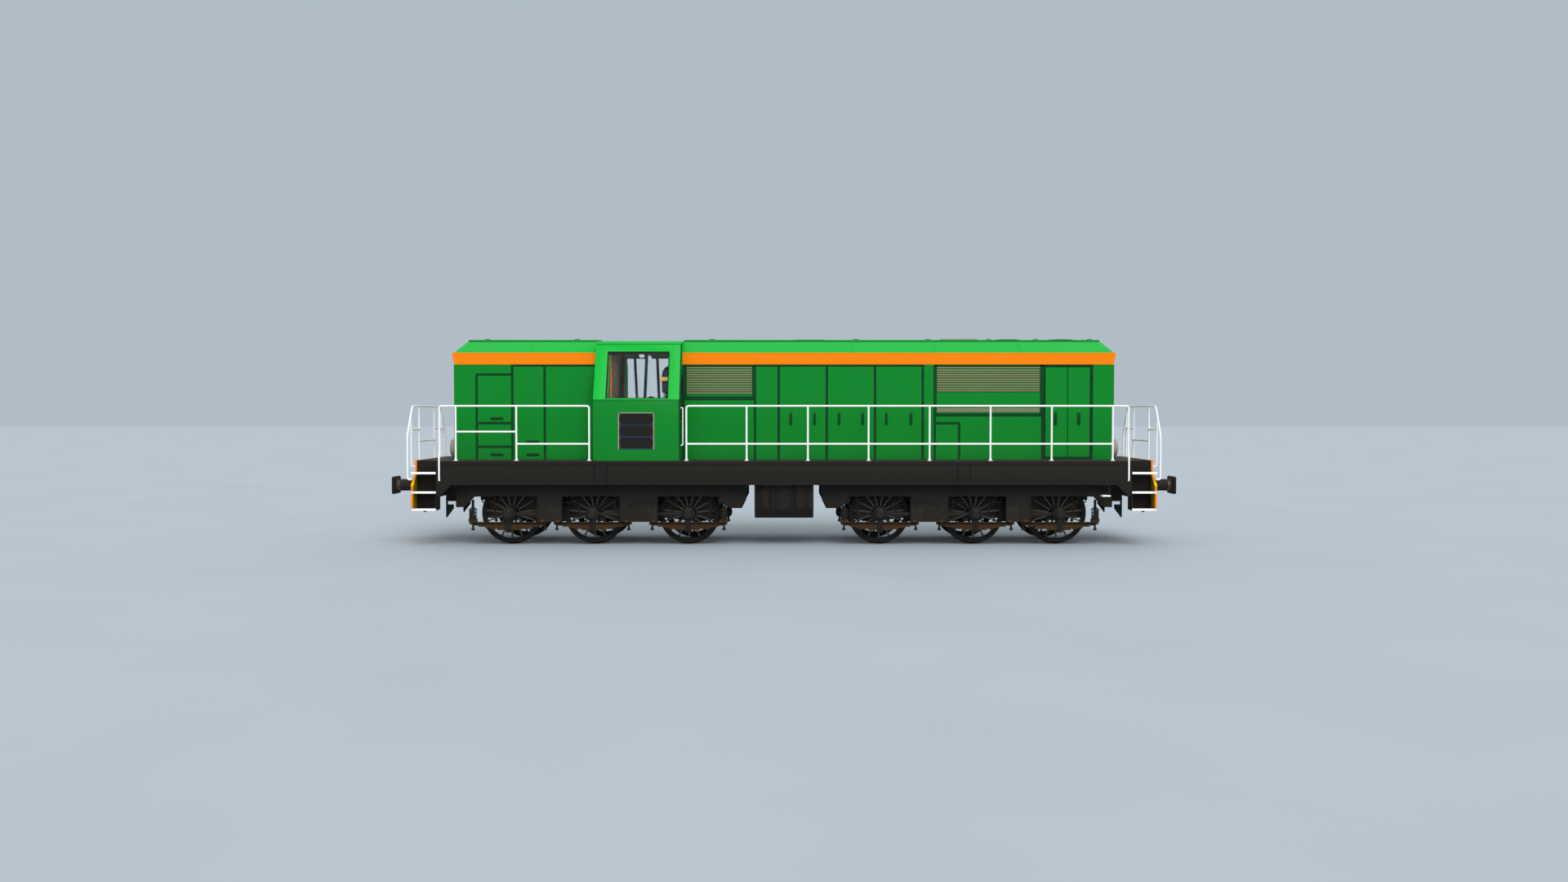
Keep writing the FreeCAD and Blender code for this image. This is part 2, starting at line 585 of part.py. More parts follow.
def bogie_frame():
    """Side beams with pedestals between the wheels, sandboxes, transoms and the centre bolster."""
    inner, outer = BOGIE_ENDS
    (p0, p1), (p2, p3) = PEDESTALS
    side = [(inner, BOGIE_TOP), (outer, BOGIE_TOP), (outer, 800), (outer - 150, 800),
            (outer - 390, BEAM_BOTTOM), (p3, BEAM_BOTTOM), (p3, PEDESTAL_BOTTOM), (p2, PEDESTAL_BOTTOM),
            (p2, BEAM_BOTTOM), (p1, BEAM_BOTTOM), (p1, PEDESTAL_BOTTOM), (p0, PEDESTAL_BOTTOM),
            (p0, BEAM_BOTTOM), (1400, BEAM_BOTTOM), (1400, TRANSOM_Z[0]), (1160, SANDBOX_BOTTOM),
            (inner + 90, SANDBOX_BOTTOM), (inner, 960)]
    pieces = both_sides([prism("Y", side, *BEAM_Y)])
    inside, middles = (-BEAM_Y[0], BEAM_Y[0]), ((p0 + p1) / 2, (p2 + p3) / 2)
    for x in middles:
        pieces.append(box((x - TRANSOM_HALF, x + TRANSOM_HALF), inside, TRANSOM_Z))
    for x0, x1 in ((inner + 40, inner + 200), (outer - 160, outer - 20)):
        pieces.append(box((x0, x1), inside, (END_TRANSOM_BOTTOM, TRANSOM_Z[1])))
    pieces.append(box(middles, (-BOLSTER_HALF_WIDTH, BOLSTER_HALF_WIDTH), (TRANSOM_Z[0], BOGIE_TOP)))
    hole_radius = KING_PIN_RADIUS + PIN_CLEARANCE
    return fuse(pieces).cut(drum("Z", (PIVOT, 0), hole_radius, KING_PIN_BOTTOM - 20, BOGIE_TOP + 10, 16))


AXLE_Z = TREAD_RADIUS
BOX_Y = (890.0, 1120.0)
BOX_RADIUS = 145.0
BOX_SIDES = 10
COVER_TIP = 1220.0
COVER_TIP_RADIUS = 75.0
JOURNAL_RADIUS = 55.0           # across flats; its corners clear the bore by 3 mm or more
JOURNAL_SIDES = 8
JOURNAL_BORE = 63.0
JOURNAL_END = 1060.0
SPRING_Y = (1005.0, 1125.0)
SPRING_TOP = 468.0
LEAF = 24.0
LEAF_HALF_LENGTHS = (850.0, 850.0, 790.0, 667.0, 526.0, 400.0, 250.0)    # from the top leaf down
BUCKLE_HALF = 57.0
BUCKLE_Z = (250.0, 540.0)
BUCKLE_Y = (SPRING_Y[0] - 12, SPRING_Y[1] + 12)
ARM_Y = (1020.0, 1100.0)
ARM_HALF = 35.0
# each axle's guide arm runs this way along X to its pedestal
ARM_TO = (PEDESTALS[0][0], PEDESTALS[0][1], PEDESTALS[1][1])


def axle_boxes():
    """Round axle boxes with conical covers, guide arms to the pedestals and spring buckles."""
    boxes = []
    for x, reach in zip(AXLES, ARM_TO):
        centre = (x, AXLE_Z)
        body = drum("Y", centre, BOX_RADIUS, *BOX_Y, BOX_SIDES)
        cover = taper("Y", centre, (BOX_RADIUS, COVER_TIP_RADIUS), BOX_Y[1], COVER_TIP, BOX_SIDES)
        bore = drum("Y", centre, JOURNAL_BORE, BOX_Y[0] - 10, JOURNAL_END + 10, JOURNAL_SIDES)
        arm = box(sorted((x, reach)), ARM_Y, (AXLE_Z - ARM_HALF, AXLE_Z + ARM_HALF))
        buckle = box((x - BUCKLE_HALF, x + BUCKLE_HALF), BUCKLE_Y, BUCKLE_Z)
        boxes.append(fuse([body, cover, arm, buckle]).cut(bore).cut(leaf_stack(x)))
    return group(both_sides(boxes))


def leaf_stack(x):
    """Underslung leaf spring: from the second leaf down, each is shorter than the one above."""
    right, left = [(x + LEAF_HALF_LENGTHS[0], SPRING_TOP)], [(x - LEAF_HALF_LENGTHS[0], SPRING_TOP)]
    for i, (half, above) in enumerate(zip(LEAF_HALF_LENGTHS[1:], LEAF_HALF_LENGTHS), 1):
        if half < above:
            for reach in (above, half):
                right.append((x + reach, SPRING_TOP - i * LEAF))
                left.append((x - reach, SPRING_TOP - i * LEAF))
    foot = SPRING_TOP - len(LEAF_HALF_LENGTHS) * LEAF
    right.append((x + LEAF_HALF_LENGTHS[-1], foot))
    left.append((x - LEAF_HALF_LENGTHS[-1], foot))
    return prism("Y", right + left[::-1], *SPRING_Y)


HANGER_OUT = 780.0              # from the axle
BLOCK_HALF = 40.0
# coil springs, where no pedestal stands above the leaf's end: X, top of the rod
COILS = ((AXLES[0] - HANGER_OUT, 833.0), (AXLES[2] + HANGER_OUT, 960.0))
COIL_TOP = 770.0
COIL_RADIUS = 90.0
COIL_SIDES = 10
ROD_RADIUS = 30.0


def springs():
    """Leaf springs, a block on each end of the top leaf, and a coil spring on the outermost."""
    y, coil_at = sum(SPRING_Y) / 2, dict(COILS)
    sets = []
    for middle in AXLES:
        pieces = [leaf_stack(middle)]
        for x in (middle - HANGER_OUT, middle + HANGER_OUT):
            if x in coil_at:
                pieces.append(drum("Z", (x, y), COIL_RADIUS, SPRING_TOP, COIL_TOP, COIL_SIDES))
                pieces.append(drum("Z", (x, y), ROD_RADIUS, COIL_TOP, coil_at[x], TUBE_SIDES))
            else:
                pieces.append(box((x - BLOCK_HALF, x + BLOCK_HALF), SPRING_Y, (SPRING_TOP, PEDESTAL_BOTTOM)))
        sets.append(fuse(pieces))
    return group(both_sides(sets))


SHOE_GAP = 15.0                 # brakes are off
SHOE_Y = (722.0, 800.0)
SHOE_THICK = 60.0
HANGER_Y = (740.0, 780.0)
HANGER_TOP = 1100.0
SHAFT_Z = (AXLE_Z - 160, AXLE_Z - 120)


def brake_rigging():
    """Brake shoes beside the wheels, their hangers and the cross shafts that carry them."""
    sets = []
    inner = TREAD_RADIUS + SHOE_GAP
    for middle, way in zip(AXLES, (1, 1, -1)):
        turns = [math.radians(a) for a in (-16, 0, 16)]
        arc = [(middle + way * inner * math.cos(t), AXLE_Z + inner * math.sin(t)) for t in turns]
        back_x = middle + way * (inner + SHOE_THICK)
        shoe = prism("Y", arc + [(back_x, arc[-1][1]), (back_x, arc[0][1])], *SHOE_Y)
        along = (back_x - 20, back_x + 20)
        sets += both_sides([shoe, box(along, HANGER_Y, (SHAFT_Z[1], HANGER_TOP))])
        sets.append(box(along, (-HANGER_Y[1], HANGER_Y[1]), SHAFT_Z))
    return fuse(sets)


# ---- wheelsets ------------------------------------------------------------------------------
WHEEL_Y = (680.0, 815.0)        # back and front faces of the tyre
FLANGE_ROOT = 715.0
RIM_INNER = 555.0
HUB_RADIUS = 150.0
HUB_Y = (650.0, 860.0)
AXLE_RADIUS = 85.0
AXLE_SIDES = 8
SPOKES = 15
RIM_SIDES = 2 * SPOKES
SPOKE_Y = (720.0, 775.0)
SPOKE_TIP_HALF = 20.0           # half-width at the rim; at the hub neighbours meet


def wheel():
    """Spoked wheel on the left: tyre with its flange on the inner side, spokes and hub."""
    centre = (0, AXLE_Z)
    tyre = drum("Y", centre, TREAD_RADIUS, *WHEEL_Y, RIM_SIDES)
    flange_radii = (TREAD_RADIUS + FLANGE_DEPTH, TREAD_RADIUS)
    flange = taper("Y", centre, flange_radii, WHEEL_Y[0], FLANGE_ROOT, RIM_SIDES)
    bore, tip = [], math.atan(SPOKE_TIP_HALF / RIM_INNER)
    for i in range(SPOKES):
        for turn in (-tip, tip):
            t = 2 * math.pi * i / SPOKES + turn - math.pi / 2
            reach = RIM_INNER / math.cos(tip)
            bore.append((reach * math.cos(t), AXLE_Z + reach * math.sin(t)))
    rim = tyre.fuse(flange).cut(prism("Y", bore, WHEEL_Y[0] - 10, WHEEL_Y[1] + 10))
    foot_half = HUB_RADIUS * math.tan(math.pi / SPOKES)
    near, far = AXLE_Z - HUB_RADIUS, AXLE_Z - RIM_INNER
    outline = [(-foot_half, near), (foot_half, near), (SPOKE_TIP_HALF, far), (-SPOKE_TIP_HALF, far)]
    spoke = prism("Y", outline, *SPOKE_Y)
    spokes = []
    for i in range(SPOKES):
        turned = spoke.copy()
        turned.rotate(V(0, 0, AXLE_Z), V(0, 1, 0), 360.0 * i / SPOKES)
        spokes.append(turned)
    hub = drum("Y", centre, HUB_RADIUS, *HUB_Y, SPOKES)
    seat = drum("Y", centre, AXLE_RADIUS, HUB_Y[0] - 10, HUB_Y[1] + 10, AXLE_SIDES)
    return fuse([rim, hub] + spokes).cut(seat)


def axle():
    """Axle pressed through both hubs, with a journal at each end, at X = 0."""
    centre = (0, AXLE_Z)
    body = drum("Y", centre, AXLE_RADIUS, -HUB_Y[1], HUB_Y[1], AXLE_SIDES)
    journals = both_sides([drum("Y", centre, JOURNAL_RADIUS, HUB_Y[1], JOURNAL_END, JOURNAL_SIDES)])
    return fuse([body] + journals)


# ---- build ----------------------------------------------------------------------------------
def build():
    os.makedirs(PARTS, exist_ok=True)
    facets = 0
    plate, ends, bearing = headstock(), end_frame(), centre_bearing()
    step_pair, end_rails_b, lamp_set = steps(), end_rail(), end_lamps()
    coupling = both_sides([buffer()]) + [draw_hook()]
    louvres = [louvre(*row) for row in LOUVRES]
    near_rails = [side_rail(RUN_A, -STAIR_POST_X), side_rail(RUN_B, STAIR_POST_X)]
    glass = window_glass()
    nodes = {
        "deck": deck(),
        "side_sills": group(both_sides([side_sill()])),
        "cross_members": cross_members(),
        "centre_bearings": group([bearing, mirror_x(bearing)]),
        "end_frames": group([ends, mirror_x(ends)]),
        "headstocks": group([plate, mirror_x(plate)]),
        "fuel_tank": fuel_tank(),
        "corner_steps": group([step_pair, mirror_x(step_pair)]),
        "short_hood": hood_walls(SHORT),
        "long_hood": long_hood(),
        "hood_bands": group([hood_band(SHORT, -1), hood_band(LONG, 1)]),
        "hood_roofs": group([hood_roof(SHORT, -1), hood_roof(LONG, 1)]),
        "side_louvres": group(both_sides(louvres)),
        "cab_lower": cab_lower(),
        "cab_upper": cab_upper(),
        "cab_window_frames": group(both_sides([window_frame()])),
        "cab_glass": group(both_sides(glass)),
        "control_desk": control_desk(),
        "driver_seat": driver_seat(),
        "equipment_cabinet": equipment_cabinet(),
        "engine_block": engine_block(),
        "roof_hatch": box((3500, 4300), (-330, 330), (ROOF_TOP + COVER_RISE, ROOF_TOP + COVER_RISE + 30)),
        "headlamps": group(lamp_set + [mirror_x(s) for s in lamp_set]),
        "handrails": group(both_sides(near_rails)),
        "end_rails": group([end_rails_b, mirror_x(end_rails_b)]),
        "buffers_and_hooks": group(coupling + [mirror_x(s) for s in coupling]),
        "hood_door_right_1": hood_door(0),
        "hood_door_right_2": hood_door(1),
        "hood_door_left_1": mirror_y(hood_door(0)),
        "hood_door_left_2": mirror_y(hood_door(1)),
        "cab_door_right": mirror_y(cab_door(CAB_B, 1)),
        "cab_door_left": cab_door(CAB_A, -1),
    }
    bogie = {"frame": bogie_frame(), "axle_boxes": axle_boxes(),
             "springs": springs(), "brakes": brake_rigging()}
    for name, shape in bogie.items():
        nodes[f"bogie_a_{name}"] = mirror_x(shape)
        nodes[f"bogie_b_{name}"] = shape
    pair, shaft = group(both_sides([wheel()])), axle()
    places = [-x for x in reversed(AXLES)] + list(AXLES)
    for i, x in enumerate(places, 1):
        nodes[f"wheels_{i}"] = pair.translated(V(x, 0, 0))
        nodes[f"axle_{i}"] = shaft.translated(V(x, 0, 0))
    for node, shape in nodes.items():
        facets += save(node, shape)
    print("nodes", len(nodes), "facets", facets)


build()
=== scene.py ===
"""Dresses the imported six-axle diesel locomotive: paint, panels, railings, cab and running gear.

Sizes are metres and heights are above the rail head; the bench lifts all that it makes by the
flange depth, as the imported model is.  End "a" is at -X, end "b" at +X, the right side at -Y.
What comes in pairs is made at end b or on the right, and mirrored.
"""
import logging
import math
from dataclasses import dataclass
from enum import Enum

import bpy
from mathutils import Matrix, Vector


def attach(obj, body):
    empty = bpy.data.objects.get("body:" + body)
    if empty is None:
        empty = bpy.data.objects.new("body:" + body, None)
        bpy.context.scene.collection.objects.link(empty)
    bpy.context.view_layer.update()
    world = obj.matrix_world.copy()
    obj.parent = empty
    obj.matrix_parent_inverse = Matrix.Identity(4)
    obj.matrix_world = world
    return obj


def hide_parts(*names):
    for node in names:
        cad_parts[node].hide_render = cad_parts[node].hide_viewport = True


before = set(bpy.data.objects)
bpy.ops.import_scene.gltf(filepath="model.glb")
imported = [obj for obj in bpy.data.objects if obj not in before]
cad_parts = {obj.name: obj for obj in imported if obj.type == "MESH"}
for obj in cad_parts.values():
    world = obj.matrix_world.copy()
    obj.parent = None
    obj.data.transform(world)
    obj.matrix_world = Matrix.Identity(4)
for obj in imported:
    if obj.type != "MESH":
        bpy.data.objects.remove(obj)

LOG = logging.getLogger("locomotive")
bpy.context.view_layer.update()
RAIL = 0.030        # height of the rail head over the floor that the flanges stand on
PAIR = (-1, 1)      # signs of the two things of a pair
MIRROR_X = Matrix.Scale(-1, 4, (1, 0, 0))
MIRROR_Y = Matrix.Scale(-1, 4, (0, 1, 0))
Object = bpy.types.Object
Socket = bpy.types.NodeSocket
Flat = tuple[float, float]
Point = tuple[float, float, float]
Colour = tuple[int, int, int]


class Axis(Enum):
    """An axis, with how a level and two other coordinates make a point."""

    X = "X"
    Y = "Y"
    Z = "Z"

    def spot(self, level: float, a: float, b: float) -> Point:
        """Point at a level along the axis, a and b being its other two coordinates in order."""
        return {"X": (level, a, b), "Y": (a, level, b), "Z": (a, b, level)}[self.value]


def lifted(point: Point) -> Vector:
    """The point, raised from its height above the rail head to the frame's own."""
    return Vector((point[0], point[1], point[2] + RAIL))


# ---- finishes -------------------------------------------------------------------------------
def linear(colour: Colour) -> tuple[float, float, float, float]:
    """Screen colour of 0 to 255 as linear light, with full alpha."""
    values = [c / 255 for c in colour]
    return tuple(v / 12.92 if v <= 0.04045 else ((v + 0.055) / 1.055) ** 2.4 for v in values) + (1.0,)


class Nodes:
    """Short hand for building one node tree."""

    def __init__(self, tree: bpy.types.NodeTree) -> None:
        """Keep the tree that nodes go into."""
        self.tree = tree

    def fill(self, node: bpy.types.Node, inputs: dict[int | str, object]) -> bpy.types.Node:
        """Give a node's inputs their values or links.

        Args:
            node: The node.
            inputs: Values or links, by an input's name or number.

        Returns:
            The same node.
        """
        for key, value in inputs.items():
            if isinstance(value, Socket):
                self.tree.links.new(value, node.inputs[key])
            else:
                node.inputs[key].default_value = value
        return node

    def add(self, kind: str, inputs: dict[int | str, object], **settings: object) -> bpy.types.Node:
        """Add a node.

        Args:
            kind: Class name of the node, after "ShaderNode".
            inputs: Values or links of its inputs.
            **settings: Its settings.

        Returns:
            The node.
        """
        node = self.tree.nodes.new("ShaderNode" + kind)
        for name, value in settings.items():
            setattr(node, name, value)
        return self.fill(node, inputs)

    def math(self, operation: str, a: object, b: object = 0.0, clamp: bool = False) -> Socket:
        """Result of one sum on two numbers or sockets."""
        return self.add("Math", {0: a, 1: b}, operation=operation, use_clamp=clamp).outputs[0]

    def times(self, a: object, b: object) -> Socket:
        """Product of two numbers or sockets."""
        return self.math("MULTIPLY", a, b)

    def plus(self, a: object, b: object, clamp: bool = False) -> Socket:
        """Sum of two numbers or sockets."""
        return self.math("ADD", a, b, clamp)

    def minus(self, a: object, b: object) -> Socket:
        """Difference of two numbers or sockets."""
        return self.math("SUBTRACT", a, b)

    def mix(self, factor: object, a: object, b: object) -> Socket:
        """Colour between a and b."""
        return self.add("Mix", {0: factor, 6: a, 7: b}, data_type="RGBA").outputs[2]

    def ramp(self, value: Socket, low: object, high: object, to_low: float = 0.0,
             to_high: float = 1.0) -> Socket:
        """Value mapped from low..high to to_low..to_high, held at both ends."""
        return self.add("MapRange", {0: value, 1: low, 2: high, 3: to_low, 4: to_high}).outputs[0]

    def noise(self, place: Socket, scale: object, detail: float, rough: float = 0.5) -> Socket:
        """Cloudy noise at a place."""
        return self.add("TexNoise", {"Vector": place, "Scale": scale, "Detail": detail,
                                     "Roughness": rough}).outputs[0]

    def place(self) -> Socket:
        """Where the point lies on its own object."""
        return self.add("TexCoord", {}).outputs["Object"]

    def facing(self) -> Socket:
        """How far the face looks upwards."""
        normal = self.add("NewGeometry", {}).outputs["Normal"]
        return self.add("SeparateXYZ", {0: normal}).outputs[2]


class Effects:
    """Node groups that the finishes share."""

    def __init__(self) -> None:
        """Build each group once."""
        self.weather = self._weather()
        self.grain = self._grain()
        self.tread = self._tread()

    @staticmethod
    def _group(name: str, inputs: dict[str, object],
               outputs: tuple[str, ...]) -> tuple[Nodes, object, object]:
        """Start a group.

        Args:
            name: Name of the group.
            inputs: Usual number, or colour, of each input.
            outputs: Names of the outputs; "Color" is a colour, the others are numbers.

        Returns:
            The tree's shorthand, its given values and its output node.
        """
        tree = bpy.data.node_groups.new(name, "ShaderNodeTree")
        for label, value in inputs.items():
            kind = "NodeSocketFloat" if isinstance(value, float) else "NodeSocketColor"
            tree.interface.new_socket(label, in_out="INPUT", socket_type=kind).default_value = value
        for label in outputs:
            kind = "NodeSocketColor" if label == "Color" else "NodeSocketFloat"
            tree.interface.new_socket(label, in_out="OUTPUT", socket_type=kind)
        given, result = (tree.nodes.new(kind) for kind in ("NodeGroupInput", "NodeGroupOutput"))
        return Nodes(tree), given.outputs, result

    def _weather(self) -> bpy.types.NodeTree:
        """Paint that drifts in colour, with worn patches, dust on upward faces, which on some finishes is
        also a painted highlight, and dirt low down.

        Returns:
            The node group.
        """
        grey = (0.5, 0.5, 0.5, 1)
        n, given, result = self._group(
            "weather", {"Paint": grey, "Patch": grey, "Patches": 0.0, "Patch Scale": 6.0, "Drift": 0.05,
                        "Dust": 0.0, "Dust And Highlight Colour": grey, "Dirt": 0.0, "Foot": 0.0, "Head": 1.0,
                        "Gloss": 0.4}, ("Color", "Roughness"))
        place = n.place()
        fine = n.noise(place, 23.0, 5.0, 0.65)
        speck = n.minus(fine, 0.5)
        drift = n.times(n.minus(n.noise(place, 0.9, 3.0), 0.5), n.times(given["Drift"], 4.0))
        value = n.plus(1.0, n.plus(drift, n.times(speck, given["Drift"])))
        paint = n.add("HueSaturation", {"Color": given["Paint"], "Value": value}).outputs[0]
        edge = n.minus(0.72, n.times(given["Patches"], 0.4))
        patch = n.ramp(n.minus(n.noise(place, given["Patch Scale"], 8.0, 0.7), edge), -0.03, 0.05)
        patch = n.times(patch, n.ramp(given["Patches"], 0.0, 0.05))
        # Upward faces take the dust colour: dust, and on some finishes a painted highlight.
        upward_share = n.times(n.ramp(n.facing(), 0.55, 0.95), n.ramp(fine, 0.25, 0.75, 0.55, 1.0))
        dust = n.times(upward_share, given["Dust"])
        height = n.add("SeparateXYZ", {0: place}).outputs[2]
        streak = n.noise(n.add("Mapping", {"Vector": place, "Scale": (5.0, 5.0, 0.5)}).outputs[0], 1.6, 6.0)
        low = n.ramp(n.plus(height, n.times(streak, 0.25)), given["Foot"], given["Head"], 1.0, 0.0)
        dirt = n.times(n.times(low, n.ramp(streak, 0.3, 0.7, 0.35, 1.0)), given["Dirt"])
        colour = n.mix(dust, n.mix(patch, paint, given["Patch"]), given["Dust And Highlight Colour"])
        rough = n.plus(given["Gloss"], n.times(speck, 0.12))
        rough = n.plus(rough, n.times(n.plus(n.plus(dust, dirt), patch), 0.35), clamp=True)
        n.fill(result, {"Color": n.mix(dirt, colour, given["Dust And Highlight Colour"]), "Roughness": rough})
        return n.tree

    def _grain(self) -> bpy.types.NodeTree:
        """Height of a sprayed, cast or dirty surface: fine grain over slow waves in the sheet.

        Returns:
            The node group.
        """
        n, given, result = self._group("grain", {"Fine Scale": 180.0, "Fine": 0.3, "Wave": 0.5}, ("Height",))
        place = n.place()
        fine = n.times(n.noise(place, given["Fine Scale"], 2.0), given["Fine"])
        n.fill(result, {"Height": n.plus(fine, n.times(n.noise(place, 2.4, 1.0), given["Wave"]))})
        return n.tree

    def _tread(self) -> bpy.types.NodeTree:
        """Height of raised anti-slip bars on a walkway plate, laid two ways.

        Returns:
            The node group.
        """
        n, given, result = self._group("tread", {"Pitch": 0.045}, ("Height",))
        flat = n.add("SeparateXYZ", {0: n.place()}).outputs
        along, across = (n.math("DIVIDE", flat[i], given["Pitch"]) for i in (0, 1))
        bars = []
        for a, b, shift in ((along, across, 0.0), (across, along, 0.5)):
            waves = (n.minus(n.math("FRACT", n.plus(value, shift)), 0.5) for value in (a, b))
            row, bar = (n.math("ABSOLUTE", wave) for wave in waves)
            bars.append(n.times(n.ramp(row, 0.32, 0.38, 1.0, 0.0), n.ramp(bar, 0.08, 0.13, 1.0, 0.0)))
        n.fill(result, {"Height": n.times(n.math("MAXIMUM", *bars), n.ramp(n.facing(), 0.7, 0.9))})
        return n.tree


EFFECTS = Effects()


class Surface:
    """Anything that makes one material, the first time that it is asked for."""

    def material(self) -> bpy.types.Material:
        """The material of this surface, built once."""
        return bpy.data.materials.get(self.name) or self.made()

    @staticmethod
    def fresh(name: str, colour: Colour) -> tuple[bpy.types.Material, Nodes, bpy.types.Node]:
        """Start a material.

        Args:
            name: Its name.
            colour: Its colour in the viewport.

        Returns:
            The material, shorthand for its node tree, and its shader.
        """
        made = bpy.data.materials.new(name)
        made.use_nodes = True
        made.diffuse_color = linear(colour)
        return made, Nodes(made.node_tree), made.node_tree.nodes["Principled BSDF"]


@dataclass(frozen=True)
class Finish(Surface):
    """One painted, metal or stuffed surface, made of nodes.

    Colours are screen values; sheen is the specular level, and foot and head are the heights
    between which low dirt fades out.
    """

    name: str
    slot: str
    colour: Colour
    gloss: float
    drift: float
    bump: float
    metal: float = 0.0
    coat: float = 0.0
    sheen: float = 0.12
    patch: Colour = (90, 62, 40)
    patches: float = 0.0
    patch_scale: float = 6.0
    dust: float = 0.05
    dust_and_highlight_colour: Colour = (120, 112, 100)
    dirt: float = 0.0
    foot: float = 1.7
    head: float = 3.2
    fine: float = 0.25
    wave: float = 0.4
    tread: bool = False
    glow: float = 0.0

    def made(self) -> bpy.types.Material:
        """Build the material.

        Returns:
            The material.
        """
        made, n, shader = self.fresh(self.name, self.colour)
        paint = linear(self.colour)
        weather = n.add("Group", {}, node_tree=EFFECTS.weather)
        n.fill(weather, {"Paint": paint, "Patch": linear(self.patch), "Patches": self.patches,
                         "Patch Scale": self.patch_scale, "Drift": self.drift, "Dust": self.dust,
                         "Dust And Highlight Colour": linear(self.dust_and_highlight_colour), "Dirt": self.dirt, "Foot": self.foot,
                         "Head": self.head, "Gloss": self.gloss})
        grain = n.add("Group", {}, node_tree=EFFECTS.grain)
        height = n.fill(grain, {"Fine": self.fine, "Wave": self.wave}).outputs["Height"]
        if self.tread:
            bars = n.add("Group", {}, node_tree=EFFECTS.tread)
            height = n.plus(height, n.times(bars.outputs["Height"], 6.0))
        bump = n.add("Bump", {"Strength": self.bump, "Distance": 0.002, "Height": height})
        n.fill(shader, {"Metallic": self.metal, "Specular IOR Level": self.sheen, "Coat Weight": self.coat,
                        "Coat Roughness": 0.18, "Emission Color": paint, "Emission Strength": self.glow,
                        "Base Color": weather.outputs["Color"], "Roughness": weather.outputs["Roughness"],
                        "Normal": bump.outputs["Normal"]})
        return made


@dataclass(frozen=True)
class Glazing(Surface):
    """Flat window glass with a faint film of dust."""

    name: str = "window_pane"
    slot: str = "window_glass"
    tint: Colour = (251, 254, 254)

    def made(self) -> bpy.types.Material:
        """Build the glass.

        Returns:
            The material.
        """
        made, n, shader = self.fresh(self.name, self.tint)
        made.diffuse_color[3] = 0.3
        film = n.ramp(n.noise(n.place(), 7.0, 4.0), 0.3, 0.8, 0.0, 0.03)
        n.fill(shader, {"Base Color": linear(self.tint), "IOR": 1.12, "Transmission Weight": 1.0,
                        "Roughness": film})
        return made


UNDERFRAME = Finish("underframe_matt", "underframe_paint", (36, 33, 29), 0.62, 0.05, 0.15, patches=0.02,
                    patch=(62, 48, 36), dust=0.15, dirt=0.03, foot=0.5, head=2.0, fine=0.5)
WALKWAY = Finish("walkway_plate", "underframe_paint", (41, 38, 34), 0.6, 0.06, 0.5, patches=0.10,
                 patch=(70, 64, 58), dust=0.35, fine=0.5, tread=True)
RUNNING = Finish("running_gear_paint", "running_gear", (40, 37, 33), 0.55, 0.07, 0.25, patches=0.05,
                 patch=(62, 46, 32), patch_scale=9.0, dust=0.2, dirt=0.05, foot=0.2, head=1.2, fine=0.8)
# Dark navy that paints shade, for parts that stand in the shade under the frame.
SHADOWED = Finish("painted_shade_underside", "running_gear", (22, 24, 30), 0.65, 0.05, 0.15, fine=0.5)
# Upward faces turn a lighter brown: partly dust, partly a painted highlight along the leaves' top edges.
LEAF_STEEL = Finish("leaf_spring_steel", "spring_steel", (76, 53, 29), 0.5, 0.10, 0.3, metal=0.15,
                    patches=0.15, patch=(52, 36, 21), patch_scale=7.0, dust=0.3, dust_and_highlight_colour=(112, 80, 48),
                    fine=0.8)
MAIN_LEAF = Finish("main_leaf_steel", "spring_steel", (27, 27, 25), 0.5, 0.08, 0.2, dust=0.1, fine=0.8)
# Painted lighter than the running gear to make up for the shade under the frame: painted light.
LIGHTENED_MOTOR = Finish("motor_case_painted_light", "running_gear", (70, 65, 58), 0.6, 0.05, 0.15, dirt=0.1, foot=0.3,
               head=1.0, fine=0.5)
PLUNGER = Finish("plunger_steel", "running_gear", (84, 79, 75), 0.4, 0.05, 0.08, metal=0.5)
# Steel lighter than the wheel: a painted highlight along the spokes.
LIGHTENED_SPOKE_STEEL = Finish("spoke_steel_painted_highlight", "wheel_steel", (86, 84, 82), 0.42, 0.08, 0.2, metal=0.3, patches=0.04,
                     dust=0.15, fine=0.8)
WHEEL_STEEL = Finish("wheel_steel_dark", "wheel_steel", (40, 37, 35), 0.5, 0.08, 0.3, metal=0.15,
                     patches=0.08, patch=(70, 50, 36), patch_scale=8.0, dust=0.35, fine=0.9)
# Steel polished by the rails, made lighter still as a painted highlight.
TREAD_STEEL = Finish("wheel_tread_polish_and_highlight", "wheel_steel", (96, 92, 88), 0.34, 0.06, 0.1, metal=0.8,
                     patches=0.04, fine=0.3)
HOOD_GREEN = Finish("hood_paint_green", "hood_green", (6, 133, 40), 0.40, 0.02, 0.05, coat=0.04, dirt=0.04,
                    foot=1.8, head=2.6)
# The hood green lightened to how it looks lit from above: painted light for roof slopes and leaning walls.
LIT_GREEN = Finish("painted_light_green", "roof_green", (14, 184, 60), 0.40, 0.02, 0.05, coat=0.04, dust=0.03)
# The hood green darkened to how it looks in shade: painted shade for joints, recesses, frames and small
# fittings.
SHADE_GREEN = Finish("painted_shade_green", "hood_green", (7, 67, 33), 0.5, 0.04, 0.06, dirt=0.1, foot=1.8,
                    head=2.6)
# Dark green that paints the shade inside the cab, with a glow of its own that is painted light.
GLOWING_DARK_GREEN = Finish("painted_shade_sheet_glow", "hood_green", (6, 74, 42), 0.6, 0.03, 0.06, sheen=0.0, glow=0.4)
ORANGE = Finish("band_paint_orange", "band_orange", (255, 134, 0), 0.38, 0.02, 0.05, coat=0.04)
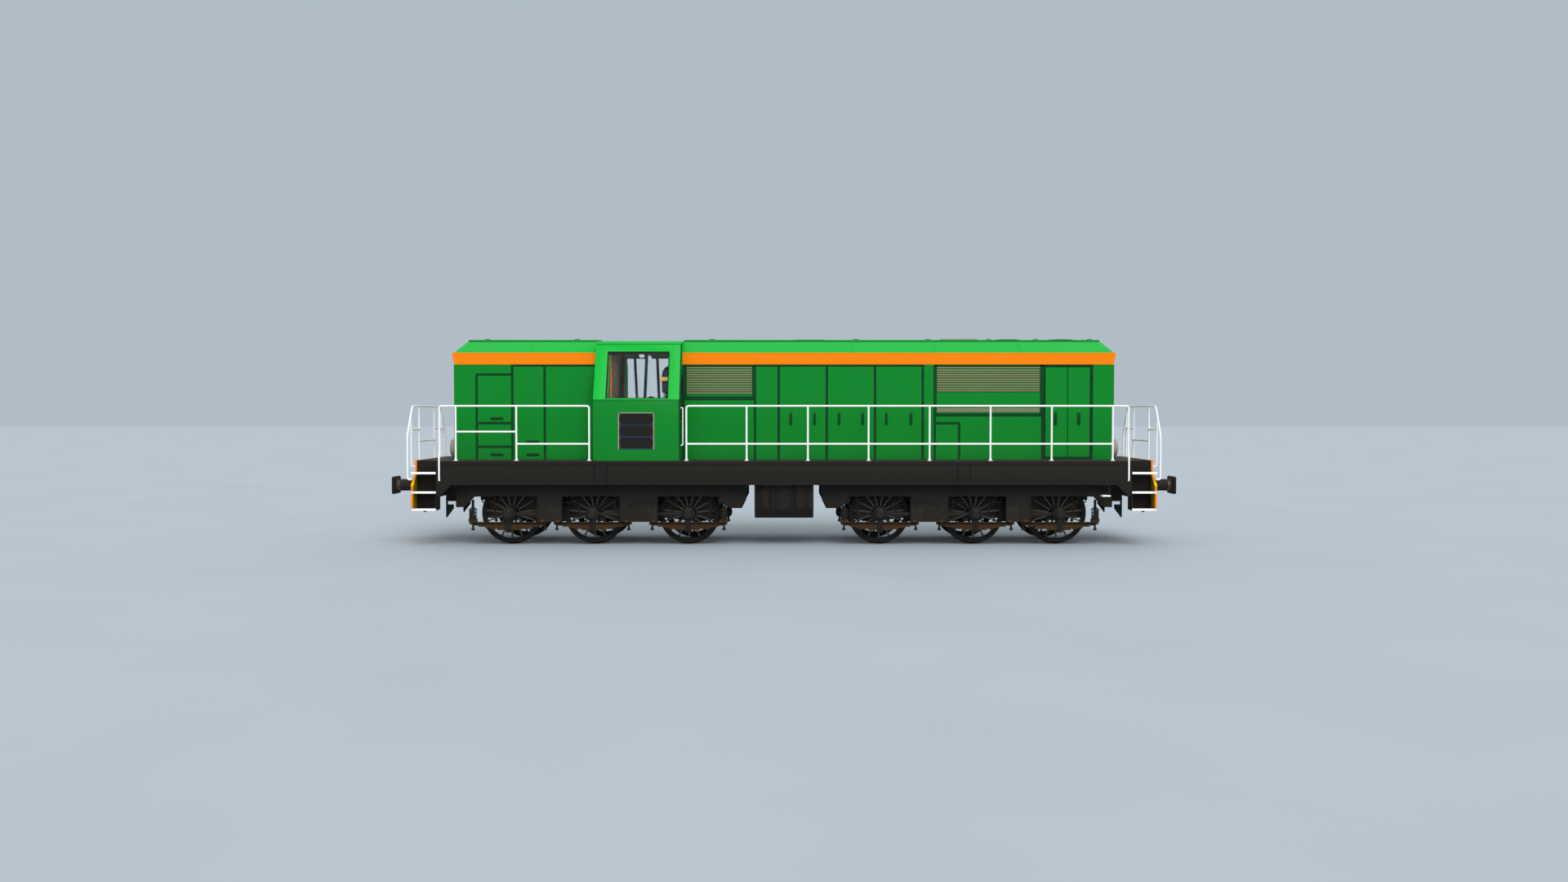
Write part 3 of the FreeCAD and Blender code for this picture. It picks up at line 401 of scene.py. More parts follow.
# Yellow that glows a little: painted light that lifts the seat band out of the cab's shade.
GLOWING_BAND_YELLOW = Finish("seat_band_yellow_glow", "band_orange", (255, 198, 92), 0.5, 0.03, 0.2, fine=0.8, glow=0.15)
# Orange darkened to how it looks in shade: painted shade for faces that look inwards.
SHADED_ORANGE = Finish("inner_face_painted_shade_orange", "band_orange", (170, 138, 8), 0.5, 0.03, 0.06)
# Orange lightened to how it looks lit from above: painted light for the sloping shoulders.
LIT_ORANGE = Finish("shoulder_painted_light_orange", "band_orange", (250, 200, 8), 0.4, 0.03, 0.05)
WHITE = Finish("rail_paint_white", "rail_white", (255, 255, 253), 0.4, 0.01, 0.06, dust=0.03)
SLAT = Finish("slat_paint_dusty", "louvre_paint", (160, 140, 118), 0.55, 0.05, 0.1, dust=0.2)
BLACK = Finish("frame_paint_black", "frame_black", (34, 31, 30), 0.45, 0.04, 0.08)
RUBBER = Finish("black_rubber", "frame_black", (24, 24, 25), 0.7, 0.04, 0.12, fine=0.6)
RED = Finish("lever_knob_red", "frame_black", (190, 24, 18), 0.35, 0.02, 0.04)
STEEL_BLUE = Finish("separator_blue_grey", "frame_black", (44, 58, 88), 0.45, 0.03, 0.05)
OLIVE = Finish("cabinet_olive_satin", "cabinet_olive", (92, 90, 68), 0.6, 0.03, 0.08, sheen=0.0)
VINYL = Finish("seat_vinyl_black", "seat_black", (30, 29, 30), 0.46, 0.03, 0.4, fine=1.0)
LAMP_GREY = Finish("lamp_housing_grey", "lamp_grey", (165, 155, 140), 0.42, 0.03, 0.08)
GLOBE = Finish("lamp_globe_white", "lamp_grey", (235, 241, 255), 0.3, 0.01, 0.02, glow=0.5)
LENS = Finish("lamp_lens_pale", "lamp_grey", (226, 226, 218), 0.12, 0.01, 0.03, coat=0.8)
BRIGHT = Finish("reflector_metal", "lamp_grey", (205, 205, 205), 0.22, 0.02, 0.03, metal=0.9)
ENGINE_GREY = Finish("engine_paint_grey", "engine_grey", (92, 96, 97), 0.5, 0.05, 0.12, patches=0.05)
GLASS = Glazing()


# ---- modelling ------------------------------------------------------------------------------
class Bench:
    """Modelling steps that every sub-assembly uses, given heights above the rail head."""

    SHARP = math.radians(25)    # least angle of an edge that is rounded
    FLAT = math.radians(1.5)    # greatest angle between faces that are one plane
    SEAM = 0.0002               # gap that a spun mesh is closed over
    REACH = 0.45                # greatest share of a run that a bent corner takes up
    BEND_STEPS = 5              # straight pieces in a bent corner

    @staticmethod
    def take(obj: Object | None) -> None:
        """Select one object alone, in object mode.

        Args:
            obj: The object, or None to leave nothing selected.
        """
        if bpy.context.object and bpy.context.object.mode != "OBJECT":
            bpy.ops.object.mode_set(mode="OBJECT")
        bpy.ops.object.select_all(action="DESELECT")
        if obj:
            obj.select_set(True)
            bpy.context.view_layer.objects.active = obj

    def edit(self, obj: Object) -> None:
        """Open an object in edit mode with everything selected.

        Args:
            obj: The object.
        """
        self.take(obj)
        bpy.ops.object.mode_set(mode="EDIT")
        bpy.ops.mesh.select_mode(type="VERT")
        bpy.ops.mesh.select_all(action="SELECT")

    @staticmethod
    def close() -> None:
        """Turn every face of the open mesh outwards and leave edit mode."""
        bpy.ops.mesh.select_all(action="SELECT")
        bpy.ops.mesh.normals_make_consistent(inside=False)
        bpy.ops.object.mode_set(mode="OBJECT")

    def rounded(self, obj: Object, width: float, segments: int) -> Object:
        """Round the sharp edges of a closed mesh.

        Args:
            obj: The object.
            width: Width of the rounding, or 0 for none.
            segments: Faces across the rounding.

        Returns:
            The same object.
        """
        if width:
            self.take(obj)
            cut = obj.modifiers.new("edges", "BEVEL")
            cut.width, cut.segments, cut.limit_method = width, segments, "ANGLE"
            cut.angle_limit = self.SHARP
            bpy.ops.object.modifier_apply(modifier=cut.name)
        return obj

    def block(self, low: Point, high: Point, edge: float = 0.004, segments: int = 1) -> Object:
        """A block with rounded edges.

        Args:
            low: One corner.
            high: The corner across from it.
            edge: Rounding of its edges, or 0.
            segments: Faces across each rounding.

        Returns:
            The block.
        """
        a, b = lifted(low), lifted(high)
        self.take(None)
        bpy.ops.mesh.primitive_cube_add(size=1.0, location=(a + b) / 2)
        obj = bpy.context.object
        obj.scale = [abs(v) for v in b - a]
        bpy.ops.object.transform_apply(location=True, rotation=True, scale=True)
        return self.rounded(obj, edge, segments)

    def plates(self, y0: float, y1: float, rows: list[tuple[float, float, float, float]], edge: float = 0.003,
               segments: int = 1) -> list[Object]:
        """Blocks that share their span in Y.

        Args:
            y0: Where they start.
            y1: Where they end.
            rows: X from, X to, Z from and Z to of each block.
            edge: Rounding of their edges.
            segments: Faces across each rounding.

        Returns:
            The blocks.
        """
        return [self.block((x0, y0, z0), (x1, y1, z1), edge, segments) for x0, x1, z0, z1 in rows]

    def loop(self, points: list[Vector], fill: str) -> Object:
        """A closed outline.

        Args:
            points: Its corners, in order.
            fill: "NGON" for a face inside it, "NOTHING" for none.

        Returns:
            The outline.
        """
        self.take(None)
        bpy.ops.mesh.primitive_circle_add(vertices=len(points), fill_type=fill)
        obj = bpy.context.object
        for vertex, point in zip(obj.data.vertices, points):
            vertex.co = point
        return obj

    def prism(self, axis: Axis, outline: list[Flat], low: float, high: float, edge: float = 0.004,
              segments: int = 1) -> Object:
        """An outline across an axis, extruded from low to high.

        Args:
            axis: Direction of the extrusion.
            outline: Corners by their other two coordinates, in order.
            low: Where the solid starts.
            high: Where it ends.
            edge: Width that its edges are rounded by, or 0.
            segments: Faces across each rounding.

        Returns:
            The solid.
        """
        obj = self.loop([lifted(axis.spot(low, a, b)) for a, b in outline], "NGON")
        self.edit(obj)
        bpy.ops.mesh.extrude_region_move(TRANSFORM_OT_translate={"value": axis.spot(high - low, 0, 0)})
        self.close()
        return self.rounded(obj, edge, segments)

    def turned(self, axis: Axis, centre: Flat, outline: list[Flat], steps: int = 24,
               at: float = 0.0) -> Object:
        """A closed half outline spun right round an axis line.

        Args:
            axis: Direction of the axis line.
            centre: The line's other two coordinates, in order.
            outline: Corners as (radius, level along the axis).
            steps: Number of steps round.
            at: Where level 0 lies along the axis.

        Returns:
            The turned solid.
        """
        middle = lifted(axis.spot(0, *centre))
        side, along = Vector(axis.spot(0, 1, 0)), Vector(axis.spot(1, 0, 0))
        obj = self.loop([middle + side * r + along * (level + at) for r, level in outline], "NOTHING")
        self.edit(obj)
        bpy.ops.mesh.spin(steps=steps, angle=math.tau, center=middle, axis=along)
        bpy.ops.mesh.select_all(action="SELECT")
        bpy.ops.mesh.remove_doubles(threshold=self.SEAM)
        bpy.ops.mesh.dissolve_degenerate(threshold=self.SEAM / 2)
        self.close()
        return obj

    def rod(self, axis: Axis, centre: Flat, radius: float, low: float, high: float,
            steps: int = 12) -> Object:
        """A plain cylinder about an axis line, from low to high along it."""
        return self.turned(axis, centre, [(0, low), (radius, low), (radius, high), (0, high)], steps)

    def tubes(self, runs: list[list[Point]], radius: float, bend: float = 0.07, sides: int = 2) -> Object:
        """Round tubes through the points of each run, with bent corners.

        Args:
            runs: Points of each tube's middle line.
            radius: Radius of the tubes.
            bend: Radius taken off each corner.
            sides: Curve resolution round a quarter of the tube.

        Returns:
            One mesh with every tube.
        """
        line = bpy.data.curves.new("tubes", "CURVE")
        line.dimensions, line.use_fill_caps = "3D", True
        line.bevel_depth, line.bevel_resolution = radius, sides
        for run in runs:
            places = self.bent([lifted(p) for p in run], bend)
            spline = line.splines.new("POLY")
            spline.points.add(len(places) - 1)
            for point, place in zip(spline.points, places):
                point.co = (*place, 1.0)
        obj = bpy.data.objects.new("tubes", line)
        bpy.context.collection.objects.link(obj)
        self.take(obj)
        bpy.ops.object.convert(target="MESH")
        return bpy.context.object

    def bent(self, points: list[Vector], bend: float) -> list[Vector]:
        """Replace each corner of a line by a short curve.

        Args:
            points: The line's ends and corners, in order.
            bend: Length of each side that a curve may take up.

        Returns:
            Points of the curved line.
        """
        places = [points[0]]
        for before, corner, after in zip(points, points[1:], points[2:]):
            reach = min(bend, (before - corner).length * self.REACH, (after - corner).length * self.REACH)
            start = corner + (before - corner).normalized() * reach
            end = corner + (after - corner).normalized() * reach
            for t in (i / self.BEND_STEPS for i in range(self.BEND_STEPS + 1)):
                places.append(start * (1 - t) ** 2 + corner * 2 * t * (1 - t) + end * t ** 2)
        return places + [points[-1]]

    def studs(self, axis: Axis, places: list[Point], radius: float, height: float, out: int = 1,
              sides: int = 6) -> Object:
        """Bolt or rivet heads at places, standing out along an axis.

        Args:
            axis: Direction that the heads face.
            places: Where they stand.
            radius: Radius of a head.
            height: How far it stands out.
            out: 1 or -1, the way that it faces.
            sides: Sides of a head.

        Returns:
            One mesh with every head.
        """
        outline = [(0.0, -0.002), (radius, -0.002), (radius, height * 0.6), (radius * 0.7, height),
                   (0.0, height)]
        head = self.turned(axis, (0.0, 0.0), [(r, level * out) for r, level in outline], sides)
        heads = [self.copied(head, Matrix.Translation(p)) for p in places]
        self.discard(head)
        return self.joined(heads)

    @staticmethod
    def copied(obj: Object, change: Matrix) -> Object:
        """A copy with its own mesh.

        Args:
            obj: The object to copy.
            change: Matrix that moves, turns or mirrors the copy.

        Returns:
            The copy.
        """
        twin = obj.copy()
        twin.data = obj.data.copy()
        twin.data.transform(change)
        bpy.context.collection.objects.link(twin)
        if change.determinant() < 0:
            twin.data.flip_normals()
        return twin

    def sides(self, pieces: list[Object], change: Matrix = MIRROR_Y) -> list[Object]:
        """The pieces and their images on the other side, or by another change."""
        return pieces + [self.copied(p, change) for p in pieces]

    def ends(self, pieces: list[Object]) -> list[Object]:
        """The pieces and their mirror images at the other end."""
        return self.sides(pieces, MIRROR_X)

    def joined(self, pieces: list[Object]) -> Object:
        """One object made of the pieces.

        Args:
            pieces: The objects, which go into the first one.

        Returns:
            The object that holds them all.
        """
        self.take(pieces[0])
        for piece in pieces:
            piece.select_set(True)
        if len(pieces) > 1:
            bpy.ops.object.join()
        return bpy.context.view_layer.objects.active

    @staticmethod
    def discard(*spent: Object) -> None:
        """Delete patterns that were copied."""
        for obj in spent:
            bpy.data.objects.remove(obj)

    def finish(self, name: str, pieces: list[Object], finish: Surface, body: str = "root",
               nodes: tuple[str, ...] = (), smooth: float = 32.0) -> Object:
        """Join pieces into one, dress it and let it ride on a body.

        Args:
            name: Name of the piece.
            pieces: Objects that make it.
            finish: What it is finished in.
            body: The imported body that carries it.
            nodes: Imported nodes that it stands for.
            smooth: Greatest angle in degrees that is shaded smooth.

        Returns:
            The finished piece.
        """
        obj = self.joined(pieces)
        obj.name = obj.data.name = name
        obj.data.materials.clear()
        obj.data.materials.append(finish.material())
        self.take(obj)
        bpy.ops.object.shade_smooth_by_angle(angle=math.radians(smooth))
        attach(obj, body)
        if nodes:
            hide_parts(*nodes)
        LOG.info("%s: %d faces on %s", name, len(obj.data.polygons), body)
        return obj

    def recut(self, name: str, node: str, finish: Surface, width: float, segments: int = 1,
              body: str = "root", more: tuple[Object, ...] = ()) -> Object:
        """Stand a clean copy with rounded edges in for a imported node.

        Args:
            name: Name of the new piece.
            node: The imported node.
            finish: What the piece is finished in.
            width: Width that its edges are rounded by.
            segments: Faces across each rounding.
            body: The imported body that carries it.
            more: Objects that are joined to it.

        Returns:
            The finished piece.
        """
        obj = bpy.data.objects.new(name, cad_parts[node].data.copy())
        bpy.context.collection.objects.link(obj)
        self.edit(obj)
        bpy.ops.mesh.remove_doubles(threshold=self.SEAM / 10)
        bpy.ops.mesh.dissolve_limited(angle_limit=self.FLAT)
        self.close()
        return self.finish(name, [self.rounded(obj, width, segments), *more], finish, body, (node,))

    @staticmethod
    def dress(node: str, finish: Surface) -> None:
        """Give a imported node, whose shape stays, its finish.

        Args:
            node: Name of the node.
            finish: Its finish.
        """
        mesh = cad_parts[node].data
        mesh.materials.clear()
        mesh.materials.append(finish.material())


BENCH = Bench()


# ---- underframe, buffers and railings -------------------------------------------------------
@dataclass
class Underframe:
    """Deck, sills, headstocks, steps, tank and what is bolted to them."""

    half_width: float = 1.50
    sill_end: float = 7.39
    headstock_x: float = 7.96
    step_x: Flat = (7.43, 7.92)
    step_y: Flat = (1.20, 1.48)
    treads: tuple[float, ...] = (1.572, 1.158, 0.790)
    # joints along the sills: X and top
    joints: tuple[Flat, ...] = ((-5.854, 1.49), (-4.048, 1.78), (-3.787, 1.78), (3.713, 1.78), (3.974, 1.78))
    flange_end: float = 7.10
    rivet_end: float = 7.2
    rivet_pitch: float = 0.24
    shoulder: tuple[Flat, ...] = ((1.205, 1.552), (1.498, 1.293), (1.498, 1.262), (1.205, 1.521))
    rib_x: tuple[float, ...] = (-0.560, -0.292, 0.238, 0.506)

    def build(self) -> None:
        """Make and dress the whole underframe."""
        b = BENCH
        b.recut("walkway_deck", "deck", WALKWAY, 0.006)
        b.recut("sills_rounded", "side_sills", UNDERFRAME, 0.008, 2)
        b.recut("end_frames_rounded", "end_frames", UNDERFRAME, 0.005)
        b.recut("end_plates_orange", "headstocks", ORANGE, 0.005)
        # The cross members take the dark navy of painted shade.
        b.dress("cross_members", SHADOWED)
        b.dress("centre_bearings", RUNNING)
        self.sill_details()
        self.headstocks()
        self.steps()
        self.tank()

    def sill_details(self) -> None:
        """Edge angles, joints in the dark navy of painted shade, and rows of rivets along the sills."""
        b, y, end, flange = BENCH, -self.half_width, self.sill_end, self.flange_end
        rails = [b.block((-end, y - 0.010, 1.735), (end, y + 0.02, 1.775), 0.003),
                 b.block((-flange, y - 0.012, 1.302), (flange, y + 0.02, 1.330), 0.004)]
        b.finish("sill_angles", b.sides(rails), UNDERFRAME)
        # The joints take the dark navy of painted shade.
        seams = b.plates(y - 0.011, y + 0.01, [(x - 0.008, x + 0.008, 1.345, top) for x, top in self.joints],
                         0.002)
        b.finish("sill_joints", b.sides(seams), SHADOWED)
        count = int(2 * self.rivet_end / self.rivet_pitch)
        along = [-self.rivet_end + self.rivet_pitch * i for i in range(count + 1)]
        row = [(x, y - 0.010, 1.755) for x in along] + [(x, y - 0.012, 1.316) for x in along
                                                        if abs(x) < flange]
        b.finish("sill_rivets", b.sides([b.studs(Axis.Y, row, 0.010, 0.007, -1)]), UNDERFRAME)

    def headstocks(self) -> None:
        """Inner faces in a darker orange that paints shade, shoulders in a lighter orange that paints light
        from above, and bolted edge angles of the orange end plates.
        """
        b, x = BENCH, self.headstock_x
        # Thin sheets on the plates' inner faces, in orange darkened as painted shade.
        inner = [b.prism(Axis.X, [(1.205, 0.792), (1.205, 1.545), (1.495, 1.285), (1.495, 0.792)],
                         x - 0.0425, x - 0.039, 0.0),
                 b.prism(Axis.Y, [(x - 0.045, 0.985), (x - 0.045, 1.30), (x - 0.29, 1.30), (x - 0.29, 1.00),
                                  (x - 0.27, 0.985)], -1.160, -1.156, 0.0)]
        b.finish("end_plate_inner_painted_shade", b.ends(b.sides(inner)), SHADED_ORANGE)
        # Strips on the sloping shoulders, in orange lightened as painted light from above.
        strips = [b.prism(Axis.X, self.shoulder, x - 0.046, x + 0.004, 0.002)]
        b.finish("end_plate_shoulders_painted_light", b.ends(b.sides(strips)), LIT_ORANGE)
        angle = b.plates(-1.19, 1.19, [(x - 0.002, x + 0.012, 1.770, 1.815),
                                       (x - 0.002, x + 0.012, 0.975, 1.015)])
        b.finish("end_plate_angles", b.ends(angle), ORANGE)
        places = [(x + 0.012, -1.12 + 0.14 * i, z) for i in range(17) for z in (1.793, 0.995)]
        b.finish("end_plate_bolts", b.ends([b.studs(Axis.X, places, 0.013, 0.009)]), BLACK)

    def steps(self) -> None:
        """Corner steps with gratings and white nosings, and the footholds beside them."""
        b, turned_round = BENCH, MIRROR_X @ MIRROR_Y
        (x0, x1), (y0, y1), plate = self.step_x, self.step_y, self.headstock_x
        corner = b.block((x1 - 0.02, 1.150, 0.770), (plate - 0.005, 1.198, 0.988), 0.002)
        corners = [corner] + [b.copied(corner, change) for change in (MIRROR_X, MIRROR_Y, turned_round)]
        b.recut("corner_step_plates", "corner_steps", WALKWAY, 0.004, more=corners)
        noses, slats = [], []
        for tread in self.treads:
            low, high = tread - 0.040, tread + 0.008
            reach, shift, out = (plate - 0.012, 0.04, 0.017) if tread < 1.4 else (plate + 0.010, 0.0, 0.0)
            noses.append(b.block((x0 + 0.004, y1 - 0.016, low), (x1 - 0.004, y1 + 0.010, high), 0.003))
            noses.append(b.block((x1 - 0.010, y1 - 0.016 + shift, low), (reach, y1 + 0.010 + out, high),
                                 0.003))
            slats += [b.block((x0 + 0.02, y, tread - 0.002), (x1 - 0.02, y + 0.006, tread + 0.006), 0.0)
                      for y in (y0 + 0.025 + 0.028 * i for i in range(9))]
        b.finish("step_nosings", b.ends(b.sides(noses)), WHITE)
        foothold = b.block((6.800, -y1 - 0.016, 1.052), (6.975, -y1 + 0.16, 1.084), 0.004)
        b.finish("foothold_plates", b.sides([foothold], turned_round), WHITE)
        rods = b.tubes([[(6.950, -y1, 1.07), (6.950, -y1, 1.31)],
                        [(6.950, -y1 + 0.14, 1.07), (6.950, -y1 + 0.08, 1.31)]], 0.011, 0.0, 1)
        b.finish("foothold_rods", b.sides([rods], turned_round), RUNNING)
        b.finish("step_gratings", b.ends(b.sides(slats)), UNDERFRAME)

    def tank(self) -> None:
        """Fuel tank with its ribs and drain."""
        b = BENCH
        b.recut("fuel_tank_rounded", "fuel_tank", UNDERFRAME, 0.012, 2)
        b.finish("tank_drain", [b.rod(Axis.Z, (0.2, -0.6), 0.04, 0.53, 0.58)], RUNNING)
        # The ribs are painted darker, as the shade beside them.
        rows = [(x - 0.022, x + 0.022, 0.80, 1.29) for x in self.rib_x]
        b.finish("tank_ribs", b.sides(b.plates(-1.3625, -1.355, rows, 0.002)), SHADOWED)


@dataclass
class Couplings:
    """Buffers, draw hooks and screw couplings at both ends."""

    foot: float = 7.96
    face: float = 8.50
    centre: Flat = (0.875, 1.270)
    head: Flat = (0.240, 0.190)
    corner: float = 0.034
    head_thick: float = 0.060
    hook_z: float = 1.16

    def build(self) -> None:
        """Make and dress the couplings."""
        b, (y, z), foot, face = BENCH, self.centre, self.foot, self.face
        plunger = b.turned(Axis.X, (y, z), [(0, -0.160), (0.112, -0.160), (0.110, -0.075), (0.125, -0.059),
                                            (0, -0.059)], 40, face)
        b.finish("buffer_plungers", b.ends(b.sides([plunger])), PLUNGER)
        barrel = b.turned(Axis.X, (y, z), [(0, 0), (0.135, 0), (0.135, 0.03), (0.128, 0.05), (0.128, 0.37),
                                           (0.131, 0.375), (0.131, 0.39), (0, 0.39)], 40, foot)
        (wide, tall), cut = self.head, self.corner
        quarter = [(wide, tall - cut), (wide - cut, tall)]
        corners = quarter + [(-a, c) for a, c in reversed(quarter)]
        corners += [(-a, -c) for a, c in quarter] + [(a, -c) for a, c in reversed(quarter)]
        head = b.prism(Axis.X, [(y + a, z + c) for a, c in corners], face - self.head_thick, face, 0.016, 3)
        base = b.block((foot - 0.001, y - 0.17, z - 0.17), (foot + 0.026, y + 0.17, z + 0.17), 0.006, 2)
        places = [(foot + 0.026, y + a * 0.135, z + c * 0.135) for a in PAIR for c in PAIR]
        nuts = b.studs(Axis.X, places, 0.022, 0.018)
        b.finish("buffers_turned", b.ends(b.sides([barrel, head, base, nuts])), RUNNING)
        self.hooks()

    def hooks(self) -> None:
        """Draw hook, its guide plate and a hanging screw coupling."""
        b, z, foot = BENCH, self.hook_z, self.foot
        pivot, bolt, middle = (foot + 0.10, z + 0.01), (foot + 0.15, z - 0.30), (foot + 0.15, 0.0)
        plate = b.block((foot - 0.001, -0.15, z - 0.12), (foot + 0.026, 0.15, z + 0.12), 0.006, 2)
        beak = [(0, -0.045), (0.17, -0.06), (0.225, -0.072), (0.28, -0.075), (0.318, -0.045), (0.33, 0.01),
                (0.33, 0.06), (0.29, 0.07), (0.268, 0.0), (0.245, -0.012), (0.226, -0.003), (0.228, 0.045),
                (0.10, 0.045), (0, 0.045)]
        hook = b.prism(Axis.Y, [(foot + a, z + c) for a, c in beak], -0.03, 0.03, 0.008, 2)
        link = b.tubes([[(pivot[0], s * 0.045, pivot[1]), (foot + 0.14, s * 0.06, z - 0.12),
                         (bolt[0], s * 0.05, bolt[1])] for s in PAIR], 0.013, 0.06)
        pins = [[(x, s * half, level) for s in PAIR] for (x, level), half in ((pivot, 0.07), (bolt, 0.075))]
        pin = b.tubes(pins, 0.018, 0.01)
        thread = [(0.020 if i % 2 else 0.015, -0.49 + 0.0095 * i) for i in range(19)]
        screw = b.turned(Axis.Z, middle, [(0, -0.50), (0.016, -0.50), *thread, (0.028, -0.31), (0.028, -0.27),
                                          (0, -0.27)], 12, z)
        weight = b.turned(Axis.Z, middle, [(0, -0.56), (0.03, -0.56), (0.036, -0.53), (0.03, -0.49),
                                           (0, -0.49)], 16, z)
        places = [(foot + 0.026, a * 0.12, z + c * 0.09) for a in PAIR for c in PAIR]
        nuts = b.studs(Axis.X, places, 0.016, 0.012)
        b.finish("draw_gear", b.ends([plate, hook, link, pin, screw, weight, nuts]), RUNNING,
                 nodes=("buffers_and_hooks",))


@dataclass
class Railings:
    """White handrails along the walkways and round the ends."""

    tube: float = 0.020
    y: float = 1.475
    out: float = 1.525
    foot: float = 1.82
    knees: Flat = (2.18, 2.44)      # heights of the middle bars
    top: float = 2.99
    stair: float = 7.35
    end_x: float = 8.05
    end_plate: float = 7.955
    long_posts: tuple[float, ...] = (-2.083, -0.798, 0.509, 1.804, 3.106, 4.405, 5.710, 7.014)
    short_posts: tuple[float, ...] = (-4.157, -5.710, -7.004)

    def build(self) -> None:
        """Make every railing and the feet of its posts."""
        b, foot = BENCH, self.foot
        side = self.side_runs(self.long_posts, 1) + self.side_runs(self.short_posts, -1)
        b.finish("walkway_rails", b.sides([b.tubes(side, self.tube, 0.06)]), WHITE, nodes=("handrails",))
        b.finish("end_railings", b.ends([b.tubes(self.end_runs(), self.tube, 0.10)]), WHITE,
                 nodes=("end_rails",))
        feet = []
        for x in self.long_posts + self.short_posts:
            feet.append(b.block((x - 0.045, -1.497, foot), (x + 0.045, -1.44, foot + 0.010), 0.002))
            feet.append(b.turned(Axis.Z, (x, -self.y), [(0, 0.01), (0.028, 0.01), (0.026, 0.045), (0, 0.045)],
                                 12, foot))
        b.finish("rail_post_feet", b.sides(feet), WHITE)

    def side_runs(self, posts: tuple[float, ...], way: int) -> list[list[Point]]:
        """Middle lines of the right-hand tubes towards one end.

        Args:
            posts: Where the posts stand along X, from mid-length outwards.
            way: 1 towards end b, -1 towards end a.

        Returns:
            One run of points for each tube.
        """
        y, top, stair = -self.y, self.top, way * self.stair
        runs = [[(posts[0], y, self.foot), (posts[0], y, top), (stair, y, top), (stair, y, 1.99),
                 (stair, -self.out, 1.87), (stair, -self.out, 1.40), (stair, -1.495, 1.40)]]
        runs += [[(x, y, self.foot), (x, y, top)] for x in posts[1:]]
        low, high = self.knees
        bars = [(0, -1, low)] if way > 0 else [(0, 1, low), (1, 2, high)]
        return runs + [[(posts[i], y, z), (posts[j], y, z)] for i, j, z in bars]

    def end_runs(self) -> list[list[Point]]:
        """Middle lines of the tubes across end b.

        Returns:
            One run of points for each tube.
        """
        x, plate, top = self.end_x, self.end_plate, self.top
        right = [(plate, -1.43, 1.42), (x, -1.43, 1.42), (x, -1.43, 2.35), (x, -1.07, top)]
        runs = [right + [(a, -y, z) for a, y, z in reversed(right)]]
        for s in PAIR:
            outer, inner = s * 1.16, s * 0.58
            runs.append([(plate, outer, 1.68), (x, outer, 1.68), (x, outer, 2.83)])
            runs.append([(plate, inner, 1.74), (x, inner, 1.74), (x, inner, top)])
            runs.append([(x, inner, 2.48), (x, outer, 2.48)])
        return runs + [[(x, -0.58, 2.22), (x, 0.58, 2.22)]]


